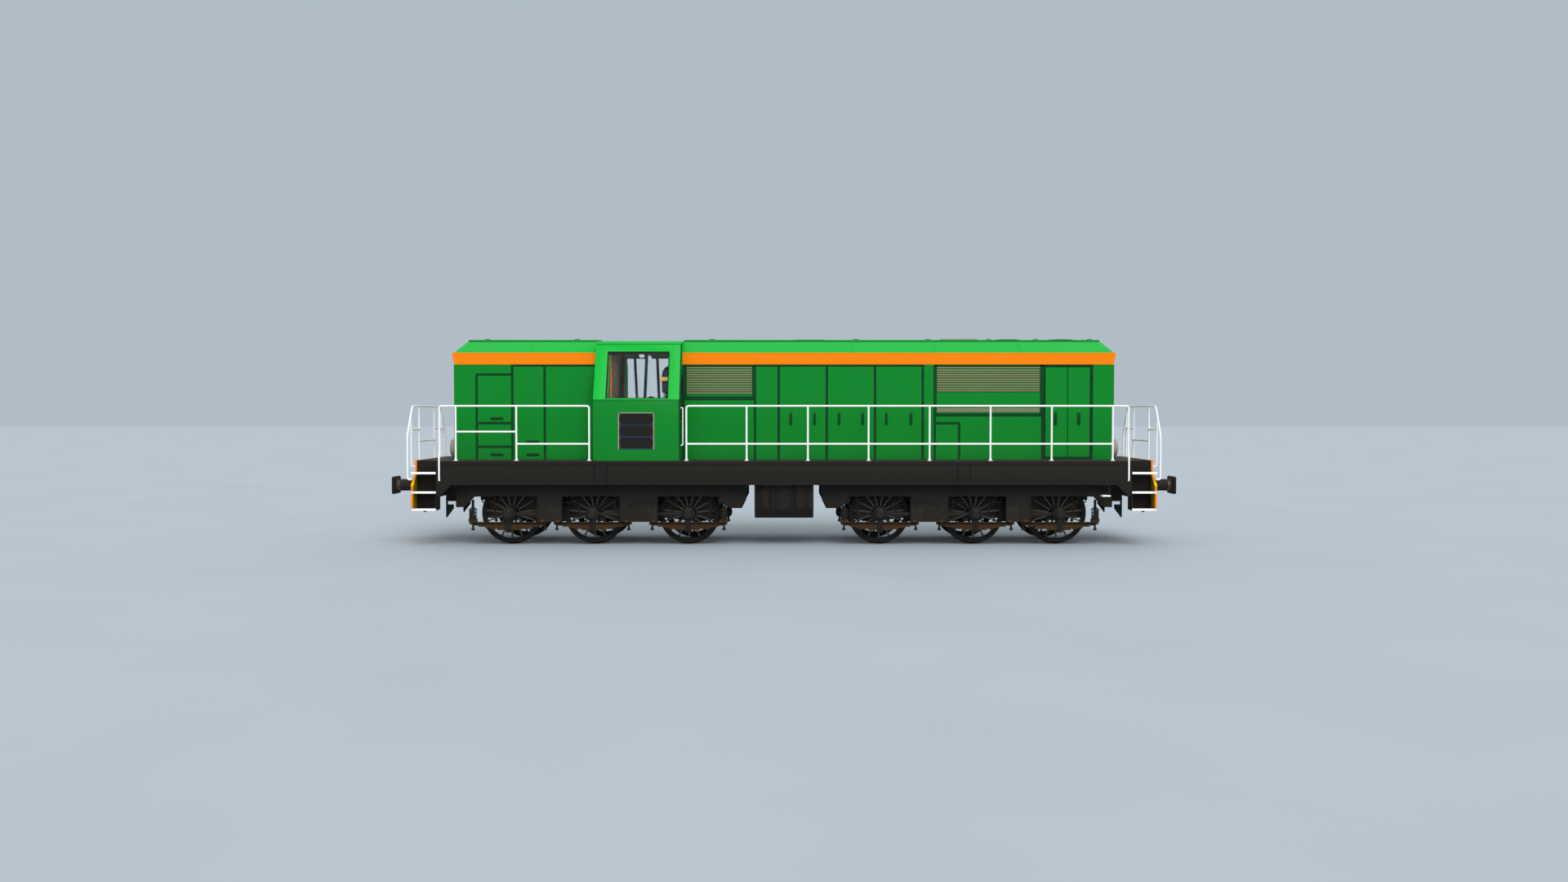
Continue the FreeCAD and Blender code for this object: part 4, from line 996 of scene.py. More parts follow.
# ---- hoods ----------------------------------------------------------------------------------
@dataclass
class Hoods:
    """Walls, doors, louvres, bands, roofs and lamps of both hoods."""

    half_width: float = 0.94
    end_x: float = 7.17
    # each hood along X
    spans: tuple[Flat, ...] = ((-7.17, -4.07), (-2.21, 7.17))
    foot: float = 1.822
    band_low: float = 3.89
    band_top: float = 4.15
    roof_top: float = 4.41
    ridge_half: float = 0.45
    cover_half: float = 0.35
    cover_rise: float = 0.045
    skin: float = 0.008
    # plain panels of the right side, with the seam already taken off: X from, X to, Z from, Z to
    panels: tuple[tuple[float, float, float, float], ...] = (
        (-2.165, -0.660, 1.822, 3.118), (-0.606, -0.142, 1.822, 3.848), (-0.088, 0.904, 1.822, 3.848),
        (0.958, 1.952, 1.822, 3.848), (2.006, 2.990, 1.822, 3.848), (3.044, 3.253, 1.822, 3.889),
        (3.307, 3.784, 1.822, 2.586), (6.722, 7.178, 1.822, 3.889),
        (-6.660, -5.937, 2.642, 3.646), (-6.660, -5.937, 2.127, 2.588), (-6.660, -5.937, 1.822, 2.073),
        (-5.883, -5.232, 1.822, 3.848), (-5.180, -4.090, 1.822, 3.848), (3.318, 5.572, 2.948, 3.278))
    # L-shaped panels round two of them, by X and Z
    bent_panels: tuple[tuple[Flat, ...], ...] = (
        ((3.836, 1.822), (5.594, 1.822), (5.594, 2.778), (3.307, 2.778), (3.307, 2.638), (3.836, 2.638)),
        ((-7.178, 1.822), (-6.712, 1.822), (-6.712, 3.698), (-5.937, 3.698), (-5.937, 3.889),
         (-7.178, 3.889)))
    # louvred openings: X from, X to, Z from, Z to, slats
    louvres: tuple[tuple[float, float, float, float, int], ...] = (
        (-2.120, -0.690, 3.200, 3.860, 12), (3.320, 5.570, 2.830, 2.970, 3), (3.320, 5.570, 3.250, 3.860, 11))
    # frames round them, in the darker green of painted shade, like the panels
    louvre_frames: tuple[tuple[float, float, float, float], ...] = (
        (-2.165, -0.660, 3.849, 3.889), (-2.165, -0.660, 3.118, 3.154), (3.280, 5.660, 3.849, 3.889),
        (3.280, 5.660, 2.763, 2.799), (3.255, 3.318, 2.785, 3.889), (5.572, 5.655, 2.785, 3.889))
    upright_grips: tuple[float, ...] = (0.147, 0.665, 1.199, 1.711, 2.228, 2.763)
    flat_grips: tuple[Flat, ...] = ((-6.245, 2.72), (-6.245, 1.94), (-5.465, 1.94), (-5.465, 2.22))
    hinge_lines: tuple[float, ...] = (-0.115, 0.931, 1.979, 3.017, -5.910, -5.206)
    # bolts on the panels: X of the rows, Z in each
    bolts: tuple[tuple[tuple[float, ...], tuple[float, ...]], ...] = (
        ((-0.05, 0.866, 0.996, 1.914, 2.044, 2.952), (1.90, 2.40, 3.30, 3.80)),
        ((-2.12, -1.65, -1.18, -0.70), (1.87, 3.07)), ((-5.13, -4.62, -4.14), (1.87, 3.80)),
        ((3.90, 4.45, 5.0, 5.54), (1.87, 2.73)))
    door_x: Flat = (5.66, 6.68)
    door_z: Flat = (1.87, 3.86)
    door_grips: Flat = (5.905, 6.413)
    fan_x: Flat = (5.0, 6.2)
    fan_rings: tuple[float, ...] = (0.30, 0.22, 0.14, 0.06)
    eye_x: tuple[float, ...] = (-6.6, -4.6, -1.6, 1.6, 3.2, 4.55, 5.6, 6.8)
    # headlamps: Y, Z, radius, depth
    lamp_rows: tuple[tuple[float, float, float, float], ...] = (
        (-0.62, 2.07, 0.235, 0.15), (0.62, 2.07, 0.235, 0.15), (0.0, 3.60, 0.140, 0.09))

    def build(self) -> None:
        """Make and dress both hoods."""
        # The hood walls, which show only in the joints between the panels, take the darker green of painted
        # shade.
        for node, finish in (("short_hood", SHADE_GREEN), ("long_hood", SHADE_GREEN),
                             ("engine_block", ENGINE_GREY)):
            BENCH.dress(node, finish)
        self.side_panels()
        self.end_panels()
        self.side_louvres()
        self.grips_and_hinges()
        self.doors()
        self.bands()
        self.roofs()
        self.roof_fittings()
        self.lamps()

    def side_panels(self) -> None:
        """Removable panels, with joints left between them where the walls show in the darker green of painted
        shade.
        """
        b, outer, inner = BENCH, -self.half_width - self.skin, -self.half_width + 0.001
        pieces = b.plates(outer, inner, self.panels)
        pieces += [b.prism(Axis.Y, outline, outer, inner, 0.003) for outline in self.bent_panels]
        b.finish("hood_side_panels", b.sides(pieces), HOOD_GREEN)

    def end_panels(self) -> None:
        """End walls with a pair of inspection covers, their hinges and grips."""
        b, x = BENCH, self.end_x
        low, high, half = self.foot, self.band_low - 0.001, self.half_width + self.skin
        rows = ((-half, -0.635, low, high), (0.635, half, low, high), (-0.585, -0.025, 2.40, 3.40),
                (0.025, 0.585, 2.40, 3.40), (-0.585, 0.585, 3.45, high), (-0.585, 0.585, low, 2.35))
        pieces = [b.block((x - 0.001, y0, z0), (x + self.skin, y1, z1), 0.003) for y0, y1, z0, z1 in rows]
        b.finish("hood_end_panels", b.ends(pieces), HOOD_GREEN)
        loop = ((0.006, 2.78), (0.045, 2.78), (0.045, 3.00), (0.006, 3.00))
        grips = b.tubes([[(x + out, y, z) for out, z in loop] for y in (-0.09, 0.09)], 0.009, 0.02)
        hinges = [b.rod(Axis.Z, (x + 0.010, y), 0.011, z, z + 0.09) for y in (-0.605, 0.605)
                  for z in (2.50, 2.86, 3.22)]
        # Hinges and grips take the darker green of painted shade.
        b.finish("hood_end_hinges_and_grips", b.ends([grips] + hinges), SHADE_GREEN)

    def side_louvres(self) -> None:
        """Pressed blades with dusty edges, in the openings of the right and left walls."""
        b, y, rim = BENCH, -self.half_width, 0.030
        b.recut("louvre_blades", "side_louvres", HOOD_GREEN, 0.002)
        edges = []
        for x0, x1, z0, z1, slats in self.louvres:
            pitch = (z1 - z0 - 2 * rim) / slats
            levels = [z0 + rim + (i + 1) * pitch for i in range(slats)]
            rows = [(x0 + 0.004, x1 - 0.004, z - 0.021, z + 0.001) for z in levels]
            edges += b.plates(y - 0.010, y + 0.004, rows)
        b.finish("louvre_edges", b.sides(edges), SLAT)
        # The frames round the openings take the darker green of painted shade.
        b.finish("louvre_frames", b.sides(b.plates(y - 0.014, y + 0.001, self.louvre_frames)), SHADE_GREEN)

    @staticmethod
    def grip(x: float, z: float, half: float, tall: float, out: float,
             feet: tuple[Flat, ...]) -> list[Object]:
        """A flat grab handle on two feet, on the right.

        Args:
            x: Its middle along X.
            z: Its middle height.
            half: Half its width.
            tall: Half its height.
            out: Y of its outer face.
            feet: X and Z of each foot, from its middle.

        Returns:
            The handle and its feet.
        """
        b = BENCH
        pieces = [b.block((x - half, out, z - tall), (x + half, out + 0.012, z + tall), 0.005, 2)]
        rows = [(x + a - 0.014, x + a + 0.014, z + c - 0.014, z + c + 0.014) for a, c in feet]
        return pieces + b.plates(out + 0.008, out + 0.026, rows, 0.002)

    def grips_and_hinges(self) -> None:
        """Grab handles, hinges and bolts on the panels that lift off or open."""
        b, y = BENCH, -self.half_width - self.skin
        pieces = []
        for x in self.upright_grips:
            pieces += self.grip(x, 2.7175, 0.024, 0.1325, y - 0.026, ((0, -0.0975), (0, 0.0975)))
        for x, z in self.flat_grips:
            pieces += self.grip(x, z, 0.135, 0.024, y - 0.026, ((-0.10, 0), (0.10, 0)))
        pieces += [b.rod(Axis.Z, (x, y + 0.002), 0.013, z, z + 0.10) for x in self.hinge_lines
                   for z in (2.05, 2.95, 3.62)]
        # Grips and hinges take the darker green of painted shade.
        b.finish("hood_grips_and_hinges", b.sides(pieces), SHADE_GREEN)
        row = [(x, y, z) for along, levels in self.bolts for x in along for z in levels]
        b.finish("hood_panel_bolts", b.sides([b.studs(Axis.Y, row, 0.010, 0.006, -1)]), HOOD_GREEN)

    def doors(self) -> None:
        """Skins and grips that ride on the leaves of the double doors, and the fixed hinges."""
        b, y, (z0, z1), (x0, x1) = BENCH, -self.half_width, self.door_z, self.door_x
        middle = (x0 + x1) / 2
        # The fixed hinges, the door leaves under their skins and the grips take the darker green of painted
        # shade.
        hinges = [b.rod(Axis.Z, (x, y - 0.004), 0.010, z, z + 0.11) for x in (x0 - 0.020, x1 + 0.020)
                  for z in (2.05, 2.80, 3.55)]
        b.finish("hood_door_hinges", b.sides(hinges), SHADE_GREEN)
        leaves = ((x0 + 0.030, middle - 0.008), (middle + 0.008, x1 - 0.030))
        for leaf, ((start, stop), grip_x) in enumerate(zip(leaves, self.door_grips), 1):
            skin = b.plates(y - self.skin, y + 0.001, [(start, stop, z0 + 0.010, z1 - 0.030)])
            grip = [b.block((grip_x - 0.028, y - 0.036, 2.583), (grip_x + 0.028, y - 0.018, 2.852), 0.005, 2)]
            grip += b.plates(y - 0.022, y, [(grip_x - 0.014, grip_x + 0.014, z - 0.014, z + 0.014)
                                            for z in (2.62, 2.815)], 0.002)
            for side, change in (("right", Matrix.Identity(4)), ("left", MIRROR_Y)):
                node = f"hood_door_{side}_{leaf}"
                # The leaf shows round its skin in the darker green of painted shade.
                b.dress(node, SHADE_GREEN)
                b.finish(node + "_skin", [b.copied(p, change) for p in skin], HOOD_GREEN, node)
                b.finish(node + "_grip", [b.copied(p, change) for p in grip], SHADE_GREEN, node)
            b.discard(*skin, *grip)

    def bands(self) -> None:
        """Orange bands, and the drip line below them in the darker green of painted shade."""
        b, y = BENCH, -self.half_width
        b.recut("orange_bands", "hood_bands", ORANGE, 0.005)
        rows = [(x0, x1, 3.862, 3.892) for x0, x1 in ((-5.937, -4.075), (-0.660, 3.044), (5.655, 6.722))]
        b.finish("band_drip_lines", b.sides(b.plates(y - 0.013, y + 0.001, rows, 0.002)), SHADE_GREEN)

    def roofs(self) -> None:
        """Sloping roof sides with joint ribs, and the raised cover along the top."""
        b, half, top = BENCH, self.cover_half + 0.006, self.roof_top
        # The roof slopes and their joint ribs take the hood green lightened as painted light from above.
        b.recut("roof_slopes", "hood_roofs", LIT_GREEN, 0.006, 2)
        y0, y1, foot = self.ridge_half, self.half_width - 0.01, self.band_top + 0.006
        slope = math.atan2(top - self.band_top, self.half_width - self.ridge_half)
        out, up = math.sin(slope) * 0.006, math.cos(slope) * 0.006
        rib = [(-y1, foot), (-y0, top), (-y0 - out, top + up), (-y1 - out, foot + up)]
        caps, ribs = [], []
        for low, high in self.spans:
            x0, x1 = max(low, -self.end_x + 0.165), min(high, self.end_x - 0.165)
            caps.append(b.block((x0 - 0.004, -half, top + 0.002),
                                (x1 + 0.004, half, top + self.cover_rise + 0.004), 0.006, 2))
            count = max(2, int((x1 - x0) / 1.55))
            ribs += [b.prism(Axis.X, rib, x - 0.016, x + 0.016, 0.002)
                     for x in (x0 + (x1 - x0) * i / count for i in range(1, count))]
        b.finish("roof_covers", caps, HOOD_GREEN)
        b.finish("roof_joint_ribs", b.sides(ribs), LIT_GREEN)

    def roof_fittings(self) -> None:
        """Hatch, fan guards, exhaust cover and lifting eyes on top of the covers."""
        b, top = BENCH, self.roof_top + self.cover_rise
        b.recut("roof_hatch_cover", "roof_hatch", SLAT, 0.006, 2)
        rings, bars = [], []
        for x in self.fan_x:
            rings += [b.turned(Axis.Z, (x, 0.0), [(r, 0.004), (r - 0.012, 0.004), (r - 0.012, 0.022),
                                                  (r, 0.022)], 32, top) for r in self.fan_rings]
            bars += [b.block((x - a, -c, top + 0.004), (x + a, c, top + 0.020), 0.0)
                     for a, c in ((0.30, 0.008), (0.008, 0.30))]
        b.finish("fan_guards", rings + bars, BLACK)
        stack = b.block((0.2, -0.12, top), (0.9, 0.12, top + 0.022), 0.006, 2)
        slot = b.block((0.26, -0.07, top + 0.021), (0.84, 0.07, top + 0.026), 0.002)
        b.finish("exhaust_cover", [stack, slot], BLACK)
        arch = ((-0.05, 0.0), (-0.05, 0.022), (0.05, 0.022), (0.05, 0.0))
        # The lifting eyes take the darker green of painted shade.
        eyes = [b.tubes([[(x + a, -0.30, top + c) for a, c in arch]], 0.007, 0.02) for x in self.eye_x]
        b.finish("lifting_eyes", b.sides(eyes), SHADE_GREEN)

    def lamps(self) -> None:
        """Round headlamps with mirrors and lenses."""
        b, x = BENCH, self.end_x
        shells, lenses, mirrors = [], [], []
        for y, z, r, depth in self.lamp_rows:
            tip = x + depth
            shells.append(b.turned(Axis.X, (y, z), [
                (0, -depth), (r, -depth), (r, 0.012 - depth), (r * 0.96, 0.02 - depth), (r * 0.80, -0.02),
                (r * 0.76, -0.004), (r * 0.72, 0), (r * 0.66, 0), (r * 0.64, -0.02), (0, -0.03)], 40, tip))
            mirrors.append(b.turned(Axis.X, (y, z), [(0, -0.029), (r * 0.63, -0.019), (r * 0.5, -0.021),
                                                     (0.0, -0.024)], 32, tip))
            lenses.append(b.turned(Axis.X, (y, z), [(0, -0.018), (r * 0.655, -0.018), (r * 0.655, -0.010),
                                                    (r * 0.4, -0.004), (0, -0.001)], 40, tip))
        b.finish("headlamp_shells", b.ends(shells), LAMP_GREY, nodes=("headlamps",))
        b.finish("headlamp_mirrors", b.ends(mirrors), BRIGHT)
        b.finish("headlamp_lenses", b.ends(lenses), LENS)


# ---- cab ------------------------------------------------------------------------------------
@dataclass
class Cab:
    """Cab walls, windows, doors, plates and everything inside."""

    a: float = -4.07
    b: float = -2.21
    half_width: float = 1.50
    waist: float = 3.12
    eaves: float = 4.38
    eaves_half: float = 1.00
    floor: float = 1.86
    platform: float = 2.16
    window_x: Flat = (-3.80, -2.48)
    window_z: Flat = (3.15, 4.16)
    window_posts: Flat = (-3.490, -2.965)
    window_head: float = 0.055
    end_pane: tuple[Flat, ...] = ((1.040, 2.700), (1.370, 2.700), (1.370, 3.140), (1.175, 3.640),
                                  (1.040, 3.640))
    # bars of the rubber round an end window, by Y and Z
    end_rubber: tuple[tuple[Flat, ...], ...] = (
        ((1.020, 2.680), (1.390, 2.680), (1.390, 2.712), (1.020, 2.712)),
        ((1.020, 3.628), (1.180, 3.628), (1.170, 3.660), (1.020, 3.660)),
        ((1.020, 2.700), (1.052, 2.700), (1.052, 3.650), (1.020, 3.650)),
        ((1.358, 2.700), (1.390, 2.700), (1.390, 3.145), (1.358, 3.138)),
        ((1.358, 3.138), (1.390, 3.145), (1.190, 3.655), (1.163, 3.636)))
    plate_x: Flat = (-3.535, -2.765)
    plate_z: Flat = (2.060, 2.850)
    desk_top: float = 3.10
    gauges: tuple[Flat, ...] = (
        (-3.50, -0.62), (-3.50, -0.82), (-3.50, -1.02), (-3.50, -1.22), (-3.36, -0.72), (-3.36, -1.12))
    seat_place: Flat = (-2.85, -0.72)
    cabinet_front: float = -3.635
    lamp_places: tuple[Flat, ...] = ((-3.15, -0.45), (-3.09, 0.45))

    def half_at(self, z: float) -> float:
        """Half-width of the cab at a height."""
        lean = (self.half_width - self.eaves_half) / (self.eaves - self.waist)
        return self.half_width - lean * max(0.0, z - self.waist)

    def build(self) -> None:
        """Make and dress the cab."""
        self.walls()
        self.side_windows()
        self.end_windows()
        self.doors()
        self.plates()
        self.desk()
        self.controls()
        self.seat()
        self.cabinet()
        self.fittings()

    def leaning(self, x0: float, x1: float, z0: float, z1: float, proud: float, thick: float,
                edge: float = 0.002) -> Object:
        """A plate parallel to the right-hand upper side.

        Args:
            x0: Start along X.
            x1: End along X.
            z0: Lower height.
            z1: Upper height.
            proud: How far its outer face stands out from the wall.
            thick: Its thickness.
            edge: Rounding of its edges.

        Returns:
            The plate.
        """
        y0, y1 = -self.half_at(z0) - proud, -self.half_at(z1) - proud
        return BENCH.prism(Axis.X, [(y0, z0), (y1, z1), (y1 + thick, z1), (y0 + thick, z0)], x0, x1, edge)

    def walls(self) -> None:
        """Lower and upper walls, waist line, corner seams and gutters; the upper walls and gutters take a
        lighter green that paints light from above, the waist line and seams a darker green that paints shade.
        """
        b, y, w = BENCH, self.half_width, self.waist
        b.recut("cab_walls_lower", "cab_lower", HOOD_GREEN, 0.008, 2)
        # The leaning upper walls take the hood green lightened as painted light from above.
        b.recut("cab_walls_upper", "cab_upper", LIT_GREEN, 0.008, 2)
        x0, x1 = self.a, self.b
        # The waist line and corner seams take the darker green of painted shade.
        seams = [b.block((x0 - 0.002, -y - 0.004, w - 0.008), (x1 + 0.002, -y + 0.01, w + 0.004), 0.002),
                 b.block((x1 - 0.030, -y - 0.006, 1.822), (x1 + 0.004, -y + 0.02, w - 0.008), 0.003),
                 self.leaning(x1 - 0.026, x1 + 0.004, w + 0.004, 4.36, 0.005, 0.02)]
        seams += b.plates(-y + 0.01, -1.442, [(x0 - 0.012, x0, w - 0.010, w + 0.006),
                                              (x1, x1 + 0.012, w - 0.010, w + 0.006)], 0.002)
        b.finish("cab_seams", b.sides(seams), SHADE_GREEN)
        # The gutters take the same lightened green.
        gutter = self.leaning(x0 + 0.01, x1 - 0.01, 4.335, 4.365, 0.018, 0.022, 0.004)
        b.finish("cab_gutters", b.sides([gutter]), LIT_GREEN)
        rows = [(x, -y, z) for x in (-4.02, -2.27) for z in (1.9, 2.2, 2.5, 2.8, 3.06)]
        rows += [(-4.02 + 0.25 * i, -y, 1.87) for i in range(8)]
        b.finish("cab_wall_bolts", b.sides([b.studs(Axis.Y, rows, 0.009, 0.005, -1)]), HOOD_GREEN)

    def side_windows(self) -> None:
        """Sliding side windows: frames, panes, trim, sash edges and pulls, and above them a dark green sheet
        that paints the shade inside the cab's head, lifted by a painted glow.
        """
        b, (x0, x1), (z0, z1), bead = BENCH, self.window_x, self.window_z, 0.008
        b.recut("side_window_frames", "cab_window_frames", BLACK, 0.003)
        b.dress("cab_glass", GLASS)
        head = z1 - self.window_head
        rows = [(x0 - bead, x0 + 0.004, z0 - bead, z1 + bead, 0.005, 0.010),
                (x1 - 0.004, x1 + bead, z0 - bead, z1 + bead, 0.005, 0.010),
                (x0 - bead, x1 + bead, z1 - 0.004, z1 + bead, 0.005, 0.010)]
        rows += [(x + s * 0.028 - 0.004, x + s * 0.028 + 0.004, z0 + 0.02, head, -0.010, 0.012)
                 for x in self.window_posts for s in PAIR]
        rows += [(x - 0.011, x + 0.011, 3.46, 3.60, 0.004, 0.012) for x in self.window_posts]
        b.finish("side_window_trim", b.sides([self.leaning(*row) for row in rows]), RUBBER)
        jamb = self.leaning(x0 + 0.002, x0 + 0.050, z0 + 0.006, head, -0.032, 0.012)
        b.finish("side_window_jambs", b.sides([jamb]), HOOD_GREEN)
        # A dark green sheet under the ceiling paints the shade there, and glows a little as painted light.
        shade_sheet = [(-1.013, 4.170), (-0.937, 4.352), (-0.929, 4.352), (-1.005, 4.170)]
        b.finish("cab_header_painted_shade", b.sides([b.prism(Axis.X, shade_sheet, -4.01, -2.27, 0.001)]), GLOWING_DARK_GREEN)

    def pane(self, x: float, sign: int, way: int) -> Object:
        """The pane in an end wall, on one side.

        Args:
            x: The wall's outer face.
            sign: Side that the pane is on, 1 or -1 in Y.
            way: Where the outer face looks, 1 or -1 in X.

        Returns:
            The pane.
        """
        middle = x - way * 0.025
        outline = [(sign * y, z) for y, z in self.end_pane]
        return BENCH.prism(Axis.X, outline, middle - 0.003, middle + 0.003, 0.0)

    def surround(self, x: float, sign: int, way: int) -> Object:
        """Rubber surround of that pane, on the wall's outer face.

        Args:
            x: The wall's outer face.
            sign: Side that the pane is on, 1 or -1 in Y.
            way: Where the outer face looks, 1 or -1 in X.

        Returns:
            The surround.
        """
        bars = [[(sign * y, z) for y, z in bar] for bar in self.end_rubber]
        return BENCH.joined([BENCH.prism(Axis.X, bar, x - way * 0.004, x + way * 0.010, 0.002)
                             for bar in bars])

    def end_windows(self) -> None:
        """Fixed panes in the end walls beside the hoods, at the corners with no door."""
        b, spots, wipers = BENCH, ((self.a, -1, -1), (self.b, 1, 1)), []
        b.finish("end_window_panes", [self.pane(*spot) for spot in spots], GLASS)
        b.finish("end_window_rubbers", [self.surround(*spot) for spot in spots], RUBBER)
        for x, sign, way in spots:
            out, blade = x + way * 0.02, x + way * 0.014
            wipers.append(b.tubes([[(x, sign * 1.20, 3.70), (out, sign * 1.20, 3.69),
                                    (out, sign * 1.10, 3.10)]], 0.006, 0.02))
            wipers.append(b.tubes([[(blade, sign * 1.13, 2.86), (blade, sign * 1.07, 3.34)]], 0.005, 0.01))
        b.finish("end_window_wipers", wipers, BLACK)

    def doors(self) -> None:
        """Leaf, glass, rubber and lock plate that ride on each cab door, its fixed hinges and grab rail."""
        b, grabs = BENCH, []
        for node, x, sign, way in (("cab_door_right", self.b, -1, 1), ("cab_door_left", self.a, 1, -1)):
            b.recut(node + "_leaf", node, HOOD_GREEN, 0.004, body=node)
            b.finish(node + "_pane", [self.pane(x, sign, way)], GLASS, node)
            b.finish(node + "_rubber", [self.surround(x, sign, way)], RUBBER, node)
            # The lock plate and the hinges take the darker green of painted shade.
            plate = b.block((x, sign * 1.352, 2.28), (x + way * 0.012, sign * 1.412, 2.62), 0.004)
            b.finish(node + "_fittings", [plate], SHADE_GREEN, node)
            hinges = [b.rod(Axis.Z, (x + way * 0.004, sign * 0.970), 0.010, z, z + 0.12)
                      for z in (2.05, 2.75, 3.45)]
            b.finish(node + "_hinges", hinges, SHADE_GREEN)
            out, y = x + way * 0.05, sign * 1.462
            grabs.append(b.tubes([[(x, y, 2.15), (out, y, 2.15), (out, y, 2.95), (x, y, 2.95)]], 0.012, 0.04))
        b.finish("cab_grab_rails", grabs, WHITE)

    def plates(self) -> None:
        """Three blank plates in a pale frame, low on each side."""
        b, y, (x0, x1), (z0, z1) = BENCH, -self.half_width, self.plate_x, self.plate_z
        edge = b.plates(y - 0.012, y, [(x0, x0 + 0.022, z0, z1), (x1 - 0.022, x1, z0, z1),
                                       (x0, x1, z1 - 0.018, z1)])
        b.finish("plate_frames", b.sides(edge), LAMP_GREY)
        third = (z1 - 0.018 - z0 - 0.02) / 3
        lows = [z0 + 0.02 + third * i for i in range(3)]
        spans = [(x0 + 0.022, x1 - 0.022, low + 0.010, low + third - 0.008) for low in lows]
        b.finish("blank_plates", b.sides(b.plates(y - 0.008, y, spans)), BLACK)
        spans = [(x0 + 0.022, x1 - 0.022, low - 0.012, low + 0.010) for low in lows]
        b.finish("plate_separators", b.sides(b.plates(y - 0.010, y, spans, 0.002)), STEEL_BLUE)
        places = [(x, y - 0.008, low + third * s) for low in lows for s in (0.16, 0.86)
                  for x in (x0 + 0.05, x1 - 0.05)]
        b.finish("plate_screws", b.sides([b.studs(Axis.Y, places, 0.007, 0.004, -1)]), LAMP_GREY)

    def desk(self) -> None:
        """Driver's desk with its gauges."""
        b, top = BENCH, self.desk_top
        b.recut("desk_body", "control_desk", OLIVE, 0.010, 2)
        rims, dials, marks = [], [], []
        for place in self.gauges:
            x, y = place
            rims.append(b.turned(Axis.Z, place, [(0.058, 0), (0.066, 0), (0.066, 0.016), (0.054, 0.016),
                                                 (0.054, 0.008), (0.058, 0.006)], 28, top))
            dials.append(b.turned(Axis.Z, place, [(0, -0.002), (0.058, -0.002), (0.058, 0.007), (0, 0.008)],
                                  28, top))
            marks.append(b.block((x - 0.042, y - 0.002, top + 0.007), (x + 0.006, y + 0.003, top + 0.010),
                                 0.0))
            for turn in (math.radians(angle) for angle in range(60, 301, 40)):
                mark = Vector((x + 0.045 * math.cos(turn), y + 0.045 * math.sin(turn), top + 0.00825))
                half = Vector((0.002, 0.002, 0.00125))
                marks.append(b.block(mark - half, mark + half, 0.0))
        b.finish("gauge_rims", rims, BLACK)
        b.finish("gauge_faces", dials, LENS)
        b.finish("gauge_marks", marks, RED)

    def controls(self) -> None:
        """Brake levers, switches and the power wheel on the desk."""
        b, edge, stands = BENCH, self.desk_top + 0.020, []
        for x, y, reach in ((-3.04, -0.60, -2.94), (-3.04, -0.74, -2.87)):
            stands.append(b.turned(Axis.Z, (x, y), [(0, -0.06), (0.045, -0.06), (0.040, 0.02), (0.025, 0.03),
                                                    (0, 0.03)], 20, edge))
            stands.append(b.tubes([[(x, y, edge + 0.02), (x + 0.03, y, edge + 0.05),
                                    (reach, y, edge + 0.065)]], 0.009, 0.02))
        wheel = x, y = -3.12, -1.02
        stands.append(b.turned(Axis.Z, wheel, [(0.105, 0.03), (0.118, 0.03), (0.122, 0.04), (0.112, 0.05),
                                               (0.100, 0.04)], 28, edge))
        stands.append(b.turned(Axis.Z, wheel, [(0, -0.06), (0.03, -0.06), (0.022, 0.035), (0, 0.035)], 20,
                               edge))
        for turn in (0.3, 2.4, 4.5):
            rim = (x + 0.11 * math.cos(turn), y + 0.11 * math.sin(turn), edge + 0.04)
            stands.append(b.tubes([[(x, y, edge + 0.02), rim]], 0.006, 0.0))
        stands += [b.block((-3.24, -0.60 - 0.06 * i, edge - 0.01), (-3.20, -0.58 - 0.06 * i, edge + 0.022),
                           0.003) for i in range(6)]
        stands.append(b.turned(Axis.Z, (-2.87, -0.74), [(0, 0.05), (0.016, 0.055), (0.020, 0.068),
                                                        (0.014, 0.080), (0, 0.084)], 16, edge))
        b.finish("desk_controls", stands, BLACK)
        knob = b.turned(Axis.Z, (-2.94, -0.60), [(0, 0.045), (0.030, 0.05), (0.036, 0.07), (0.028, 0.088),
                                                 (0, 0.092)], 20, edge)
        b.finish("desk_red_knob", [knob], RED)

    def seat(self) -> None:
        """Driver's high seat: sprung column, crowned cushion, tall back with a band, and a side lever."""
        b, (x, y) = BENCH, self.seat_place
        side = y - 0.245
        post = b.turned(Axis.Z, (x, y), [(0, 0), (0.17, 0), (0.17, 0.015), (0.06, 0.03), (0.055, 0.24),
                                         (0.075, 0.25), (0.075, 0.44), (0.12, 0.47), (0.12, 0.50), (0, 0.50)],
                        24, self.platform)
        tray = b.block((x - 0.21, y - 0.20, 2.655), (x + 0.21, y + 0.20, 2.705), 0.008, 2)
        lever = b.tubes([[(-2.63, side, 2.72), (-2.63, side, 3.12), (-2.60, side, 3.24)]], 0.010, 0.05)
        spine = [b.block((-2.520, y + s * 0.15 - 0.015, 2.66), (-2.500, y + s * 0.15 + 0.015, 3.40), 0.003)
                 for s in PAIR]
        spine.append(b.block((x + 0.15, y - 0.165, 2.665), (-2.500, y + 0.165, 2.700), 0.004))
        b.finish("seat_pedestal", [post, tray, lever] + spine, BLACK)
        grip = b.turned(Axis.Z, (-2.60, side), [(0, 3.225), (0.020, 3.23), (0.024, 3.25), (0.018, 3.27),
                                                (0, 3.274)], 16)
        b.finish("seat_lever_grip", [grip], LAMP_GREY)
        cushion = self.pad((-3.10, y - 0.23, 2.705), (-2.66, y + 0.23, 2.825), 0.030)
        back = self.pad((-2.600, y - 0.23, 2.82), (-2.520, y + 0.23, 3.29), 0.020)
        head = self.pad((-2.665, y - 0.23, 3.27), (-2.505, y + 0.23, 3.86), 0.026)
        start, ridge = 3.62 + RAIL, 3.86 + RAIL
        for vertex in head.data.vertices:
            rise = max(0.0, vertex.co.z - start) / (ridge - start)
            vertex.co.x += rise ** 3 * 0.9 * max(0.0, -2.535 - vertex.co.x)
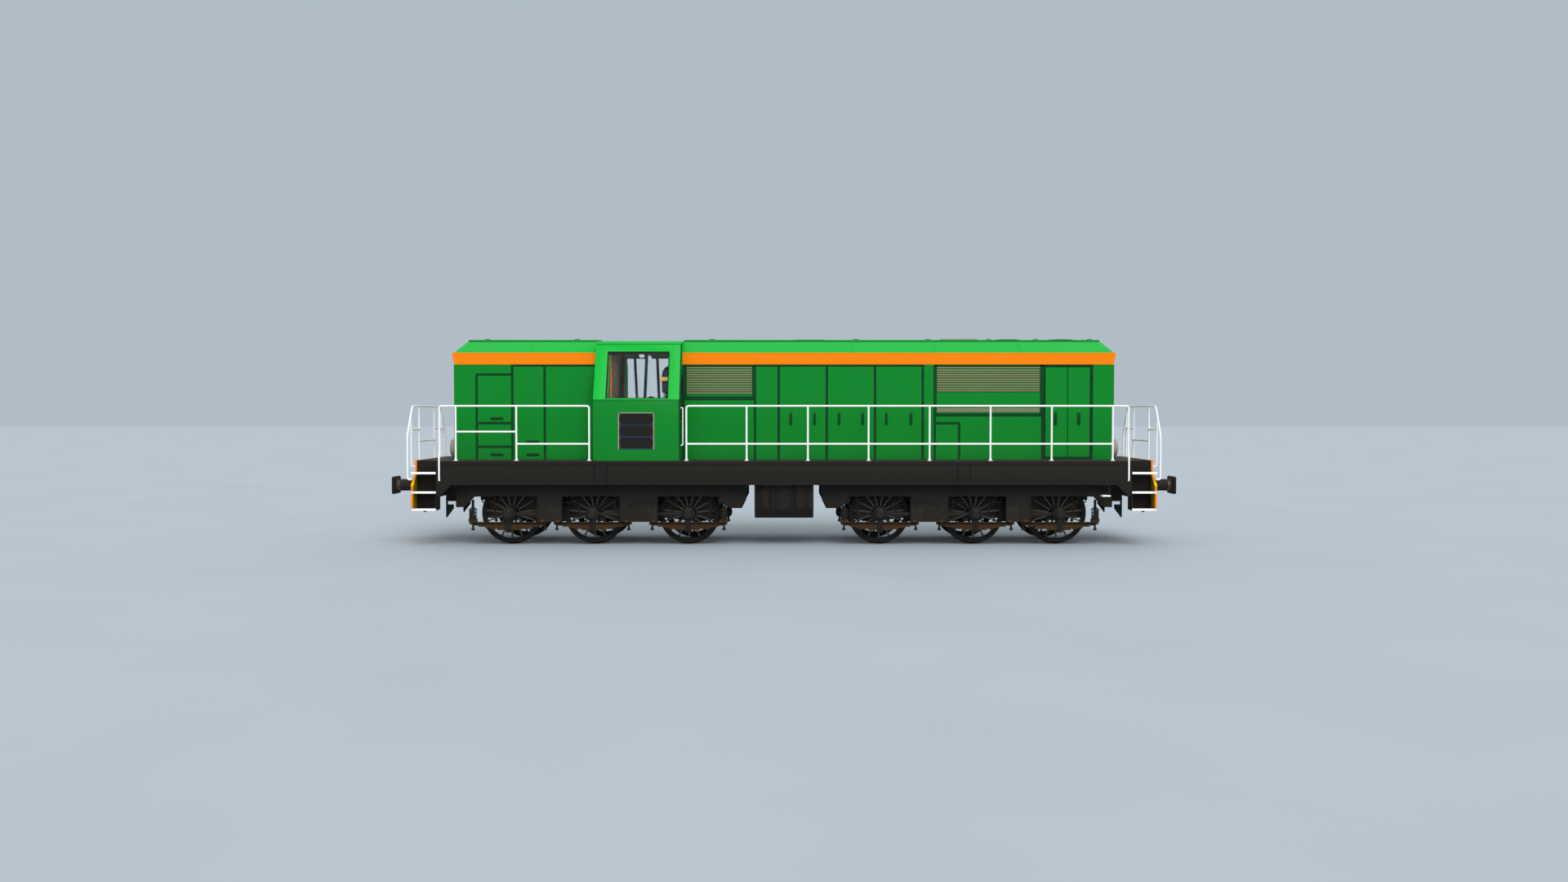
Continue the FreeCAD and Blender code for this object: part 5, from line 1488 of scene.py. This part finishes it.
        seat = b.finish("seat_cushions", [cushion, back, head], VINYL, nodes=("driver_seat",), smooth=60.0)
        # The band glows a little, as painted light against the cab's shade.
        band = b.block((-2.692, y - 0.238, 3.532), (-2.502, y + 0.238, 3.622), 0.020, 3)
        tail = b.block((-2.692, y - 0.236, 3.492), (-2.668, y - 0.10, 3.535), 0.004)
        b.finish("seat_back_band", [band, tail], GLOWING_BAND_YELLOW)

    @staticmethod
    def pad(low: Point, high: Point, crown: float) -> Object:
        """A stuffed pad whose middle swells and whose corners pull in, with pleats.

        Args:
            low: Its lowest corner.
            high: Its highest corner.
            crown: How far its sides are drawn in at the corners.

        Returns:
            The pad.
        """
        b = BENCH
        obj = b.block(low, high, 0.0)
        b.edit(obj)
        bpy.ops.mesh.subdivide(number_cuts=9)
        b.close()
        a, c = lifted(low), lifted(high)
        middle, half = (a + c) / 2, (c - a) / 2
        for vertex in obj.data.vertices:
            t = [(vertex.co[i] - middle[i]) / half[i] for i in range(3)]
            for i in (i for i in range(3) if abs(t[i]) > 0.99):
                others = [abs(t[j]) for j in range(3) if j != i]
                pull = max(others) ** 4 * 0.55 + min(others) ** 3 * 0.25
                pleat = 0.004 * abs(math.sin(vertex.co[1] * 42)) if i != 1 else 0.0
                vertex.co[i] -= math.copysign(crown * pull * 0.6 + pleat, t[i])
        b.take(obj)
        soft = obj.modifiers.new("soft", "SUBSURF")
        soft.levels = soft.render_levels = 1
        bpy.ops.object.modifier_apply(modifier=soft.name)
        return obj

    def cabinet(self) -> None:
        """Equipment cabinet with its doors, orange edges and catches."""
        b, x, levels = BENCH, self.cabinet_front, ((1.92, 2.86), (2.90, 3.96))
        b.recut("cabinet_body", "equipment_cabinet", OLIVE, 0.010, 2)
        doors = [b.block((x - 0.001, y0, z0), (x + 0.010, y1, z1), 0.004)
                 for y0, y1 in ((-0.86, -0.30), (-0.28, 0.28), (0.30, 0.86)) for z0, z1 in levels]
        sides = b.plates(-0.890, -0.879, [(x - 0.36, x - 0.02, z0, z1) for z0, z1 in levels], 0.004)
        top = b.block((x - 0.378, -0.878, 3.985), (x - 0.004, 0.878, 4.095), 0.008, 2)
        b.finish("cabinet_doors", doors[:4] + sides + [top], OLIVE)
        # The far doors take the same dark green, lifted by its painted glow.
        b.finish("cabinet_doors_glowing_green", doors[4:], GLOWING_DARK_GREEN)
        strips = [b.block((-3.790, s * 0.884 - 0.014, 1.90), (-3.751, s * 0.884 + 0.012, 4.09), 0.004)
                  for s in PAIR]
        strips.append(b.turned(Axis.Y, (-3.68, 3.68), [(0, -0.912), (0.016, -0.908), (0.018, -0.892),
                                                       (0, -0.885)], 16))
        b.finish("cabinet_orange_strips", strips, ORANGE)
        catch = [(0, 0.009), (0.016, 0.009), (0.013, 0.022), (0, 0.022)]
        b.finish("cabinet_catches", [b.turned(Axis.X, (y, z), catch, 16, x) for y in (-0.34, 0.24, 0.34)
                                     for z in (2.40, 3.40)], BRIGHT)

    def fittings(self) -> None:
        """Ceiling lamps and floor mats."""
        b = BENCH
        globe = [(0, 4.145), (0.030, 4.145), (0.058, 4.118), (0.058, 4.096), (0.040, 4.068), (0, 4.060)]
        b.finish("ceiling_lamps", [b.turned(Axis.Z, place, globe, 28) for place in self.lamp_places], GLOBE)
        stem = [(0, 4.14), (0.014, 4.14), (0.014, 4.35), (0.04, 4.352), (0.04, 4.362), (0, 4.362)]
        b.finish("ceiling_lamp_stems", [b.turned(Axis.Z, place, stem, 16) for place in self.lamp_places],
                 LAMP_GREY)
        mats = [b.block((x0, y0, z - 0.002), (x1, y1, z + 0.008), 0.003)
                for x0, x1, y0, y1, z in ((-3.55, -2.42, -0.45, 1.36, self.floor),
                                          (-3.23, -2.33, -1.34, -0.50, self.platform))]
        b.finish("floor_mats", mats, RUBBER)


# ---- bogies and wheels ----------------------------------------------------------------------
@dataclass
class Bogies:
    """Both bogies: frames, axle boxes, motors, leaf and coil springs, brakes and pipes.

    Everything is made for bogie b, on the right where it comes in pairs, and mirrored.
    """

    axles: tuple[float, ...] = (2.080, 4.150, 5.970)
    axle_z: float = 0.645
    # outer face of the side frames, and their ends along X
    face: float = -1.150
    ends: Flat = (0.820, 7.100)
    pedestals: tuple[Flat, ...] = ((2.735, 3.560), (4.804, 5.352))
    pedestal_foot: float = 0.484
    beam_feet: tuple[Flat, ...] = ((1.42, 2.72), (3.575, 4.79), (5.365, 6.70))
    rib_x: tuple[float, ...] = (1.0, 1.72, 2.44, 3.88, 4.50, 5.66, 6.28, 6.90)
    arm_to: tuple[float, ...] = (2.735, 3.560, 5.352)
    spring_y: Flat = (-1.125, -1.005)
    spring_top: float = 0.468
    leaf: float = 0.024
    leaf_half: tuple[float, ...] = (0.850, 0.850, 0.790, 0.667, 0.526, 0.400, 0.250)
    hanger_out: float = 0.780
    # coil springs: X and the rod's top
    coils: tuple[Flat, ...] = ((1.300, 0.833), (6.750, 0.960))
    coil_z: Flat = (0.553, 0.740)
    coil_radius: float = 0.073
    coil_turns: int = 5
    # motor cases: half-length, bottom, top, corner; and where each one's bracket ends along X
    motor: tuple[float, float, float, float] = (0.600, 0.520, 0.970, 0.045)
    motor_brackets: tuple[Flat, ...] = ((3.01, 2.66), (5.22, 5.39))
    # the pipe over the pedestal, and the brake rods behind the wheels by X and Z
    pipe: tuple[Point, ...] = ((3.39, -1.165, 0.79), (3.27, -1.168, 0.87), (3.12, -1.168, 0.908),
                               (2.85, -1.168, 0.915), (2.85, -1.168, 0.79))
    rod_y: float = -0.955
    rods: tuple[tuple[Flat, ...], ...] = (((2.36, 1.04), (2.36, 0.82), (2.42, 0.70), (2.56, 0.66),
                                           (2.74, 0.66)), ((1.91, 0.622), (1.58, 0.622), (1.58, 1.04)),
                                          ((1.62, 1.04), (1.62, 0.66)), ((3.67, 1.04), (3.67, 0.75)),
                                          ((3.56, 0.70), (3.81, 0.885), (3.934, 0.885), (3.934, 0.622),
                                           (4.02, 0.622)), ((4.28, 0.622), (4.466, 0.622), (4.466, 0.885),
                                                            (4.80, 0.885)), ((4.734, 1.04), (4.734, 0.89)),
                                          ((6.10, 0.622), (6.30, 0.622), (6.30, 1.04)),
                                          ((6.30, 0.885), (6.58, 0.885), (6.58, 1.04)))

    def build(self) -> None:
        """Make and dress both bogies."""
        for body in ("bogie_a", "bogie_b"):
            BENCH.recut(body + "_frame_rounded", body + "_frame", RUNNING, 0.010, 2, body)
            BENCH.recut(body + "_brakes_rounded", body + "_brakes", RUNNING, 0.004, 1, body)
        self.frames()
        self.boxes()
        self.motors()
        self.springs()
        self.coil_springs()
        self.pipes()

    def place(self, name: str, pieces: list[Object], finish: Finish, part: str = "",
              mirrored: bool = True) -> None:
        """Finish pieces as one piece on each bogie.

        Args:
            name: Name of the piece, after the bogie's.
            pieces: Objects made for bogie b, on the right.
            finish: What they are finished in.
            part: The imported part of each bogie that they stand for, if any.
            mirrored: Whether they also come on the left.
        """
        b = BENCH
        whole = b.sides(pieces) if mirrored else pieces
        other = [b.copied(p, MIRROR_X) for p in whole]
        for body, made in (("bogie_b", whole), ("bogie_a", other)):
            b.finish(f"{body}_{name}", made, finish, body, (f"{body}_{part}",) if part else ())

    def frames(self) -> None:
        """Ribs, wear plates, sandbox lids and rivets of the side frames."""
        b, y, (start, stop), foot = BENCH, self.face, self.ends, self.pedestal_foot
        pieces = [b.block((start + 0.01, y - 0.012, 1.200), (stop - 0.01, y + 0.01, 1.222)),
                  b.block((start + 0.004, y, 1.215), (stop - 0.004, y + 0.05, 1.270))]
        pieces += b.plates(y - 0.012, y + 0.01, [(x0, x1, 1.032, 1.052) for x0, x1 in self.beam_feet], 0.004)
        for x0, x1 in self.pedestals:
            pieces += b.plates(y - 0.010, y + 0.01, [(x, x + 0.02, foot, 1.03)
                                                     for x in (x0 + 0.004, x1 - 0.024)])
            pieces.append(b.block((x0 + 0.01, y - 0.014, foot), (x1 - 0.01, y + 0.01, foot + 0.026)))
            pieces.append(b.block((x0 + 0.006, y - 0.008, 0.506), (x0 + 0.276, y + 0.01, 0.80), 0.006, 2))
        pieces += b.plates(y - 0.010, y + 0.01, [(x - 0.012, x + 0.012, 1.05, 1.205) for x in self.rib_x])
        self.place("frame_ribs", pieces, RUNNING)
        row = [(start + 0.08 + 0.16 * i, y - 0.001, 1.175) for i in range(39)]
        row += [(x, y - 0.001, z) for x0, x1 in self.pedestals for x in (x0 + 0.05, x1 - 0.05)
                for z in (0.55, 0.67, 0.79, 0.91)]
        self.place("frame_rivets", [b.studs(Axis.Y, row, 0.012, 0.008, -1)], RUNNING)
        lid = b.block((0.86, y + 0.02, 1.222), (1.30, y + 0.14, 1.240), 0.006, 2)
        self.place("sandbox_lids", [lid, b.rod(Axis.X, (y + 0.15, 1.236), 0.010, 0.92, 1.24, 10)], RUNNING)

    def boxes(self) -> None:
        """Axle boxes with conical covers and bolts, guide arms and spring buckles."""
        b, z, pieces, buckles = BENCH, self.axle_z, [], []
        tip = [(0, -1.00), (0.120, -0.892), (0.142, -0.905), (0.145, -1.095), (0.152, -1.097),
               (0.152, -1.118), (0.146, -1.124), (0.118, -1.150), (0.088, -1.205), (0.074, -1.216),
               (0.04, -1.219), (0, -1.220)]
        turns = [math.tau * (i + 0.5) / 8 for i in range(8)]
        for axle, reach in zip(self.axles, self.arm_to):
            pieces.append(b.turned(Axis.Y, (axle, z), tip, 32))
            bolts = [(axle + 0.133 * math.cos(t), -1.119, z + 0.133 * math.sin(t)) for t in turns]
            pieces.append(b.studs(Axis.Y, bolts, 0.010, 0.008, -1))
            start = axle + math.copysign(0.12, reach - axle)
            pieces.append(b.block((start, -1.095, z - 0.034), (reach, -1.022, z + 0.034), 0.008, 2))
            buckles.append(b.block((axle - 0.057, -1.139, 0.249), (axle + 0.057, -0.991, 0.541), 0.006, 2))
            buckles.append(b.prism(Axis.Y, [(axle - 0.056, 0.53), (axle + 0.056, 0.53), (axle + 0.075, 0.58),
                                            (axle - 0.075, 0.58)], -1.105, -1.02))
            ends = [(axle, -1.139, level) for level in (0.275, 0.510)]
            buckles.append(b.studs(Axis.Y, ends, 0.016, 0.010, -1))
        self.place("axle_boxes_turned", pieces, RUNNING, "axle_boxes")
        self.place("spring_buckles", buckles, BLACK)

    def motors(self) -> None:
        """Cases of the motors hung between the wheels, with the brackets that carry them."""
        b, (half, low, top, cut) = BENCH, self.motor
        quarter = [(-half, low + cut), (cut - half, low)]
        lower = quarter + [(-x, z) for x, z in reversed(quarter)]
        outline = lower + [(x, low + top - z) for x, z in reversed(lower)]
        cases = [b.prism(Axis.Y, [(axle + x, z) for x, z in outline], -0.615, 0.615, 0.010, 2)
                 for axle in self.axles]
        cases += b.plates(-0.18, 0.18, [(x0, x1, 0.905, 0.960) for x0, x1 in self.motor_brackets], 0.006, 2)
        # The cases are painted lighter than the running gear, to make up for the shade under the frame.
        self.place("motor_cases", cases, LIGHTENED_MOTOR, mirrored=False)

    def leaves(self, axle: float) -> list[Object]:
        """The plates of one leaf spring, the top one first.

        Args:
            axle: Where the axle is, in X.

        Returns:
            The plates.
        """
        plates, (y0, y1) = [], self.spring_y
        for i, half in enumerate(self.leaf_half):
            top = self.spring_top - i * self.leaf
            low, rise, inset = top - self.leaf + 0.002, 0.0015 * (i > 0), 0.0015 * (i % 2)
            right = [(half - 0.03, top - rise), (half, low + 0.012), (half - 0.006, low)]
            outline = [(axle + x, z) for x, z in right] + [(axle - x, z) for x, z in reversed(right)]
            plates.append(BENCH.prism(Axis.Y, outline, y0 + inset, y1 - inset, 0.003))
        return plates

    def springs(self) -> None:
        """Leaf springs, one plate at a time, with their end blocks and hanger bolts."""
        b, (y0, y1), top, out = BENCH, self.spring_y, self.spring_top, self.hanger_out
        brown, iron, dark = [], [], []
        for axle in self.axles:
            plates = self.leaves(axle)
            dark += plates[:2]
            brown += plates[2:]
            brown.append(b.block((axle - out + 0.08, y0 - 0.002, top - 0.005),
                                 (axle + out - 0.08, y1 + 0.002, top + 0.002), 0.002))
            for s in PAIR:
                x = axle + s * out
                cap = x - s * 0.04
                if any(abs(x - coil) < 0.01 for coil, _ in self.coils):
                    brown.append(b.block((x - 0.084, y0 - 0.004, top - 0.002),
                                         (x + 0.084, y1 + 0.004, top + 0.072), 0.008, 2))
                else:
                    brown.append(b.block((x - 0.045, y0 - 0.002, top - 0.002),
                                         (x + 0.045, y1 + 0.002, top + 0.012), 0.003))
                    brown.append(b.block((cap - 0.038, self.face - 0.022, top + 0.002),
                                         (cap + 0.038, y0 + 0.02, top + 0.068), 0.006, 2))
                centre = (x, (y0 + y1) / 2)
                iron.append(b.rod(Axis.Z, centre, 0.022, 0.290, 0.480))
                iron.append(b.turned(Axis.Z, centre, [(0, 0.302), (0.044, 0.302), (0.044, 0.316),
                                                      (0.036, 0.320), (0.036, 0.340), (0, 0.340)], 6))
        # The leaves' upward faces turn lighter brown: dust, and a painted highlight on their top edges.
        self.place("spring_leaves", brown, LEAF_STEEL, "springs")
        self.place("spring_main_leaves", dark, MAIN_LEAF)
        self.place("spring_hangers", iron, RUNNING)

    def coil_springs(self) -> None:
        """Coil springs on their rods and cups, at the outer spring ends."""
        b, pieces, y, r, steps = BENCH, [], sum(self.spring_y) / 2, self.coil_radius, 20
        low, high = self.coil_z
        count = self.coil_turns * steps
        for x, rod_top in self.coils:
            path = [(x + r * math.cos(math.tau * i / steps), y + r * math.sin(math.tau * i / steps),
                     low + 0.012 + (high - low - 0.024) * i / count) for i in range(count + 1)]
            pieces.append(b.tubes([path], 0.0135, 0.0, 1))
            pieces.append(b.turned(Axis.Z, (x, y), [(0, -0.025), (0.092, -0.025), (0.092, 0), (0.062, 0),
                                                    (0.062, 0.05), (0, 0.05)], 24, low))
            pieces.append(b.turned(Axis.Z, (x, y), [(0, 0), (0.088, 0), (0.088, 0.018), (0.05, 0.03),
                                                    (0, 0.03)], 24, high))
            pieces.append(b.rod(Axis.Z, (x, y), 0.030, low, rod_top))
            pieces.append(b.rod(Axis.Z, (x, y), 0.046, high + 0.028, high + 0.055, 6))
        self.place("coil_springs_wound", pieces, RUNNING)

    def pipes(self) -> None:
        """Pipes bent over the pedestals, and brake rods beside the wheels."""
        runs = [self.pipe] + [[(x, self.rod_y, z) for x, z in rod] for rod in self.rods]
        self.place("pipes", [BENCH.tubes(runs, 0.014, 0.07, 1)], RUNNING)


@dataclass
class Wheelsets:
    """Six spoked wheelsets, modelled once at the middle and copied to their axles."""

    axle_x: tuple[float, ...] = (-5.970, -4.150, -2.080, 2.080, 4.150, 5.970)
    radius: float = 0.645
    spokes: int = 15
    spoke_half: Flat = (0.026, 0.017)

    def build(self) -> None:
        """Make the first wheelset and put a copy on every body."""
        b = BENCH
        body = b.joined(self.wheel() + [self.axle()])
        spokes = b.joined(b.sides(self.spoke_ring()))
        tread = self.tread()
        for number, x in enumerate(self.axle_x, 1):
            name, place = f"wheelset_{number}", Matrix.Translation((x, 0, 0))
            b.finish(name + "_spoked", [b.copied(body, place)], WHEEL_STEEL, name,
                     (f"wheels_{number}", f"axle_{number}"))
            # The spokes are painted lighter than the wheel, as highlights along them.
            b.finish(name + "_spokes", [b.copied(spokes, place)], LIGHTENED_SPOKE_STEEL, name)
            # The tread band is polished steel, painted lighter still as a highlight.
            b.finish(name + "_tread", [b.copied(tread, place)], TREAD_STEEL, name)
        b.discard(body, spokes, tread)

    def wheel(self) -> list[Object]:
        """Tyre, rim and hub of both wheels.

        Returns:
            Tyre and hub of one wheel, then their images.
        """
        b, r, centre = BENCH, self.radius, (0.0, self.radius)
        tyre = b.turned(Axis.Y, centre, [
            (0.600, 0.682), (0.655, 0.680), (0.668, 0.683), (0.675, 0.691), (0.674, 0.699), (0.662, 0.707),
            (r + 0.003, 0.715), (r, 0.724), (r - 0.001, 0.806), (r - 0.008, 0.814), (0.600, 0.815),
            (0.594, 0.809), (0.594, 0.800), (0.566, 0.797), (0.556, 0.790), (0.556, 0.706), (0.566, 0.699),
            (0.594, 0.696), (0.594, 0.688)], 72)
        hub = b.turned(Axis.Y, centre, [
            (0, 0.652), (0.140, 0.652), (0.148, 0.660), (0.150, 0.700), (0.158, 0.722), (0.158, 0.772),
            (0.148, 0.800), (0.146, 0.846), (0.136, 0.858), (0.098, 0.860), (0.096, 0.868), (0, 0.868)], 40)
        return b.sides([tyre, hub])

    def spoke_ring(self) -> list[Object]:
        """The spokes of one wheel, wider at the hub and at the rim, and rounded.

        Returns:
            The spokes.
        """
        b, r, (foot, tip) = BENCH, self.radius, self.spoke_half
        half = [(foot, -0.14), (foot * 0.86, -0.22), (tip, -0.52), (tip * 1.7, -0.565)]
        outline = [(-half[0][0], r + half[0][1])] + [(x, r + z) for x, z in half]
        outline += [(-x, r + z) for x, z in reversed(half[1:])]
        spoke = b.prism(Axis.Y, outline, 0.724, 0.772, 0.012, 3)
        hub = Matrix.Translation((0, 0, r + RAIL))
        turns = [Matrix.Rotation(math.tau * i / self.spokes, 4, "Y") for i in range(self.spokes)]
        pieces = [b.copied(spoke, hub @ turn @ hub.inverted()) for turn in turns]
        b.discard(spoke)
        return pieces

    def axle(self) -> Object:
        """Axle body with its wheel seats and journals.

        Returns:
            The axle.
        """
        half = [(0, 1.055), (0.055, 1.055), (0.055, 0.880), (0.085, 0.862), (0.085, 0.655), (0.078, 0.60),
                (0.072, 0.25), (0.072, 0)]
        outline = [(r, -y) for r, y in half] + [(r, y) for r, y in reversed(half[:-1])]
        return BENCH.turned(Axis.Y, (0.0, self.radius), outline, 24)

    def tread(self) -> Object:
        """Bright running band on both tyres, a hair proud of them: steel polished by the rails, painted
        lighter still as a highlight.

        Returns:
            Both bands as one object.
        """
        b, r = BENCH, self.radius
        band = [(r - 0.006, 0.728), (r + 0.0006, 0.728), (r - 0.0004, 0.802), (r - 0.006, 0.802)]
        return b.joined(b.sides([b.turned(Axis.Y, (0.0, r), band, 72)]))


# ---- studio ---------------------------------------------------------------------------------
@dataclass
class Studio:
    """Pale floor, plain soft light and the side-on camera."""

    backdrop: Colour = (176, 189, 199)
    camera_y: float = -27.3
    camera_z: float = 2.887
    pitch: float = 1.43
    lens: float = 27.8
    sky: float = 0.70
    sun: float = 1.75
    sun_from: Point = (0.25, -1.0, 0.95)

    def build(self) -> None:
        """Put floor, lights and camera in place."""
        self.floor()
        self.world()
        self.lights()
        self.camera()

    def floor(self) -> None:
        """A wide floor that the locomotive stands on."""
        bpy.ops.object.select_all(action="DESELECT")
        bpy.ops.mesh.primitive_plane_add(size=400.0, location=(0, 0, -0.001))
        floor = bpy.context.object
        floor.name = "studio_floor"
        made, n, shader = Surface.fresh("studio_floor", self.backdrop)
        cloud = n.ramp(n.noise(n.place(), 0.3, 2.0), 0.3, 0.7, 0.0, 0.04)
        n.fill(shader, {"Roughness": 0.9, "Base Color": n.mix(cloud, linear(self.backdrop), (1, 1, 1, 1))})
        floor.data.materials.append(made)

    def world(self) -> None:
        """Even light from all round, which shows as the backdrop's colour."""
        world = bpy.data.worlds.new("studio")
        bpy.context.scene.world = world
        world.use_nodes = True
        n, nodes = Nodes(world.node_tree), world.node_tree.nodes
        sky = n.fill(nodes["Background"], {"Color": (1.0, 1.0, 1.0, 1.0), "Strength": self.sky})
        seen = n.add("Background", {"Color": linear(self.backdrop), "Strength": 1.0})
        path = n.add("LightPath", {}).outputs
        direct = n.math("MAXIMUM", path["Is Camera Ray"],
                        n.math("MAXIMUM", path["Is Glossy Ray"], path["Is Transmission Ray"]))
        mix = n.add("MixShader", {0: direct, 1: sky.outputs[0], 2: seen.outputs[0]})
        n.fill(nodes["World Output"], {"Surface": mix.outputs[0]})

    def lights(self) -> None:
        """A wide soft key from the camera's side and above."""
        lamp = bpy.data.lights.new("studio_key", "SUN")
        lamp.energy, lamp.angle = self.sun, math.radians(40)
        key = bpy.data.objects.new("studio_key", lamp)
        bpy.context.collection.objects.link(key)
        key.rotation_euler = Vector(self.sun_from).to_track_quat("Z", "Y").to_euler()

    def camera(self) -> None:
        """Side view, pitched a little downwards."""
        view = bpy.data.cameras.new("side_view")
        view.lens, view.sensor_width, view.clip_end = self.lens, 36.0, 500.0
        camera = bpy.data.objects.new("side_view", view)
        bpy.context.collection.objects.link(camera)
        camera.location = (0.0, self.camera_y, self.camera_z + RAIL)
        camera.rotation_euler = (math.radians(90 - self.pitch), 0.0, 0.0)
        bpy.context.scene.camera = camera
        bpy.context.scene.view_settings.view_transform = "Standard"


def main() -> None:
    """Build every sub-assembly in turn, then the studio."""
    logging.basicConfig(level=logging.INFO, format="%(name)s: %(message)s")
    for part in (Underframe(), Couplings(), Railings(), Hoods(), Cab(), Bogies(), Wheelsets(), Studio()):
        LOG.info("building %s", type(part).__name__)
        part.build()


if __name__ == "__main__":
    main()
